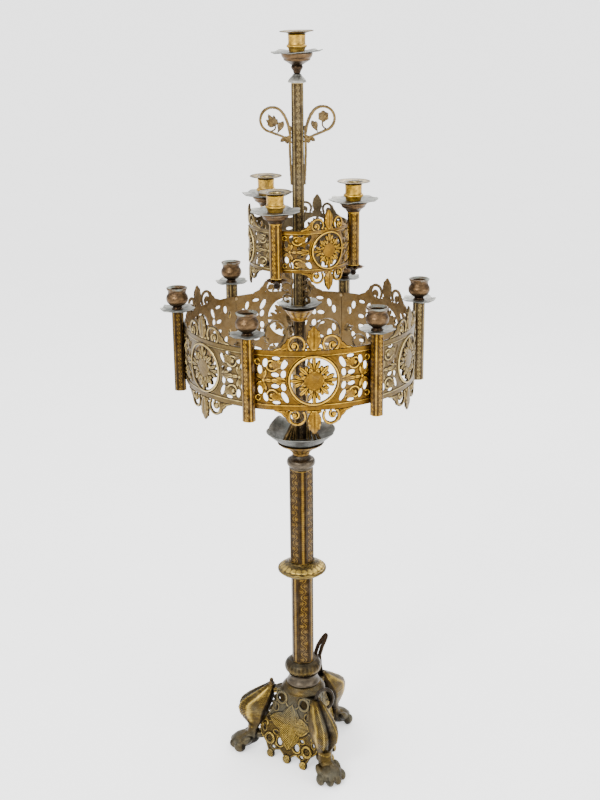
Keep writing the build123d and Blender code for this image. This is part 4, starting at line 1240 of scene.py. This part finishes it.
# ---------------------------------------------------------------- loops on the legs
def tube_through(path, outward, wide, thick, around=16):
    """A bar of oval section along a path; thick is measured along the outward direction."""
    tangent = np.gradient(path, axis=0)
    tangent /= np.linalg.norm(tangent, axis=1)[:, None]
    sideways = np.cross(tangent, outward)
    sideways /= np.linalg.norm(sideways, axis=1)[:, None]
    a = np.linspace(0, 2 * np.pi, around, endpoint=False)
    return loft(path[:, None] + wide / 2 * np.cos(a)[None, :, None] * sideways[:, None]
                + thick / 2 * np.sin(a)[None, :, None] * np.asarray(outward, float))


def front_loop():
    """The upright oval loop on the front leg, in a plane across the leg, leaning sideways."""
    t = np.linspace(math.radians(-115), math.radians(215), 80)
    turn = math.radians(15)
    along, up = 18.2 * np.sin(t), 23.2 * np.cos(t)
    side = 18 + along * math.cos(turn) - up * math.sin(turn)
    height = span("leg_1")[1] - 4 + along * math.sin(turn) + up * math.cos(turn)
    path = np.stack([np.full(80, 66), side, height], -1)
    points, faces = tube_through(path, (1, 0, 0), 7.6, 6.4)
    relief = 0.45 + 0.2 * ripple(points[:, 1] * 0.5, points[:, 2] * 0.4, 1.0)
    finish_piece("leg_loop_front_ring", points, faces, relief, IRON, ["leg_loop_front"],
                 angle=LEG_ANGLE + 240)


def back_loop():
    """The bent oval loop on the back leg: a narrow loop of heavy bar that leans outward."""
    t = np.linspace(-0.5 * np.pi, 1.5 * np.pi, 90)
    rise = 0.5 + 0.5 * np.sin(t)
    low, top = span("leg_loop_back")
    height = low + rise * (top - low - 4)
    reach = np.interp(rise, [0, 0.3, 0.6, 0.8, 1], [66, 57, 52, 62, 84])
    side = 7.4 * np.cos(t) * (0.3 + 0.7 * rise)
    points, faces = tube_through(np.stack([reach, side, height], -1), (0.93, 0, -0.37), 9.0, 7.2)
    relief = 0.42 + 0.2 * ripple(points[:, 1] * 0.5, points[:, 2] * 0.4, 2.0)
    finish_piece("leg_loop_back_ring", points, faces, relief, COPPER, ["leg_loop_back"],
                 angle=LEG_ANGLE)


front_loop()
back_loop()


def stubs():
    """Two broken stubs where the third leg's loop was."""
    low, top = span("leg_stub_left")
    lumps = [blob((68, side * 7, (low + top) / 2 - 1), (4.4, 3.4, (top - low) / 2 + 2.5),
                  side * 4) for side in (-1, 1)]
    points, faces = merged(lumps)
    relief = 0.5 + 0.2 * ripple(points[:, 0], points[:, 2], 1.0)
    finish_piece("leg_stub_left_pair", points, faces, relief, BRACKET, ["leg_stub_left"],
                 angle=LEG_ANGLE + 120)


stubs()


# ---------------------------------------------------------------- CAD parts that stay
def finish_cad(node, material):
    for owner in bpy.data.objects:
        if owner.type == "MESH" and owner.name == frame["nodes"][node].name:
            for socket in owner.material_slots:
                socket.material = material
            if not owner.material_slots:
                owner.data.materials.append(material)


for node in ("lower_ring_screws", "upper_ring_screws", "base_screws"):
    finish_cad(node, SCREW)
for node in ("tie_rod", "tie_rod_nut"):
    finish_cad(node, STEEL)


# ---------------------------------------------------------------- camera, light and floor
def camera():
    lens = bpy.data.cameras.new("photo_camera")
    lens.lens, lens.sensor_width = 60.94, 36
    holder = bpy.data.objects.new("photo_camera", lens)
    bpy.context.scene.collection.objects.link(holder)
    holder.location = (0, -2.498, 1.628)
    pan, pitch, roll = 0.0003, math.radians(90 - 18.66), -0.0103
    turn = Matrix.Rotation(pan, 3, "Z") @ Matrix.Rotation(pitch, 3, "X") @ Matrix.Rotation(roll, 3, "Z")
    holder.rotation_euler = turn.to_euler()
    bpy.context.scene.camera = holder


def softbox(name, place, aim, size, power):
    light = bpy.data.lights.new(name, "AREA")
    light.shape, light.size, light.energy = "SQUARE", size, power
    holder = bpy.data.objects.new(name, light)
    bpy.context.scene.collection.objects.link(holder)
    holder.location = place
    holder.rotation_euler = (Vector(aim) - Vector(place)).to_track_quat("-Z", "Y").to_euler()


def studio():
    world = bpy.data.worlds.new("soft_studio")
    world.use_nodes = True
    tree = world.node_tree
    direction = tree.nodes.new("ShaderNodeTexCoord").outputs["Generated"]
    upward = tree.nodes.new("ShaderNodeSeparateXYZ")
    tree.links.new(direction, upward.inputs[0])
    sky = link_ramp(tree, upward.outputs["Z"], [(0.0, (0.16, 0.16, 0.16)), (0.28, (0.35, 0.35, 0.36)),
                                                (0.55, (1.0, 1.0, 1.0))])
    tree.links.new(sky, tree.nodes["Background"].inputs["Color"])
    tree.nodes["Background"].inputs["Strength"].default_value = 2.4
    bpy.context.scene.world = world
    middle = (0, 0, 0.85)
    softbox("key_left", (-1.6, -2.6, 2.6), middle, 0.9, 110)
    softbox("fill_right", (2.4, -1.8, 1.3), middle, 1.2, 40)
    softbox("rim_back", (0.8, 2.4, 2.4), middle, 1.4, 40)


FLOOR = 60


def floor():
    mesh = bpy.data.meshes.new("floor")
    corners = [(x * FLOOR, y * FLOOR, 0) for x, y in ((-1, -1), (1, -1), (1, 1), (-1, 1))]
    mesh.from_pydata(corners, [], [(0, 1, 2, 3)])
    ground = bpy.data.objects.new("floor", mesh)
    bpy.context.scene.collection.objects.link(ground)
    material = bpy.data.materials.new("pale_floor")
    material.use_nodes = True
    tree = material.node_tree
    shader = tree.nodes["Principled BSDF"]
    coords = tree.nodes.new("ShaderNodeTexCoord").outputs["Object"]
    tree.links.new(link_ramp(tree, noise(tree, coords, 3),
                             [(0.3, (0.90, 0.90, 0.90)), (0.7, (0.93, 0.93, 0.93))]),
                   shader.inputs["Base Color"])
    shader.inputs["Roughness"].default_value = 0.8
    shader.inputs["Emission Color"].default_value = (1, 1, 1, 1)
    shader.inputs["Emission Strength"].default_value = 0.8
    mesh.materials.append(material)


camera()
studio()
floor()
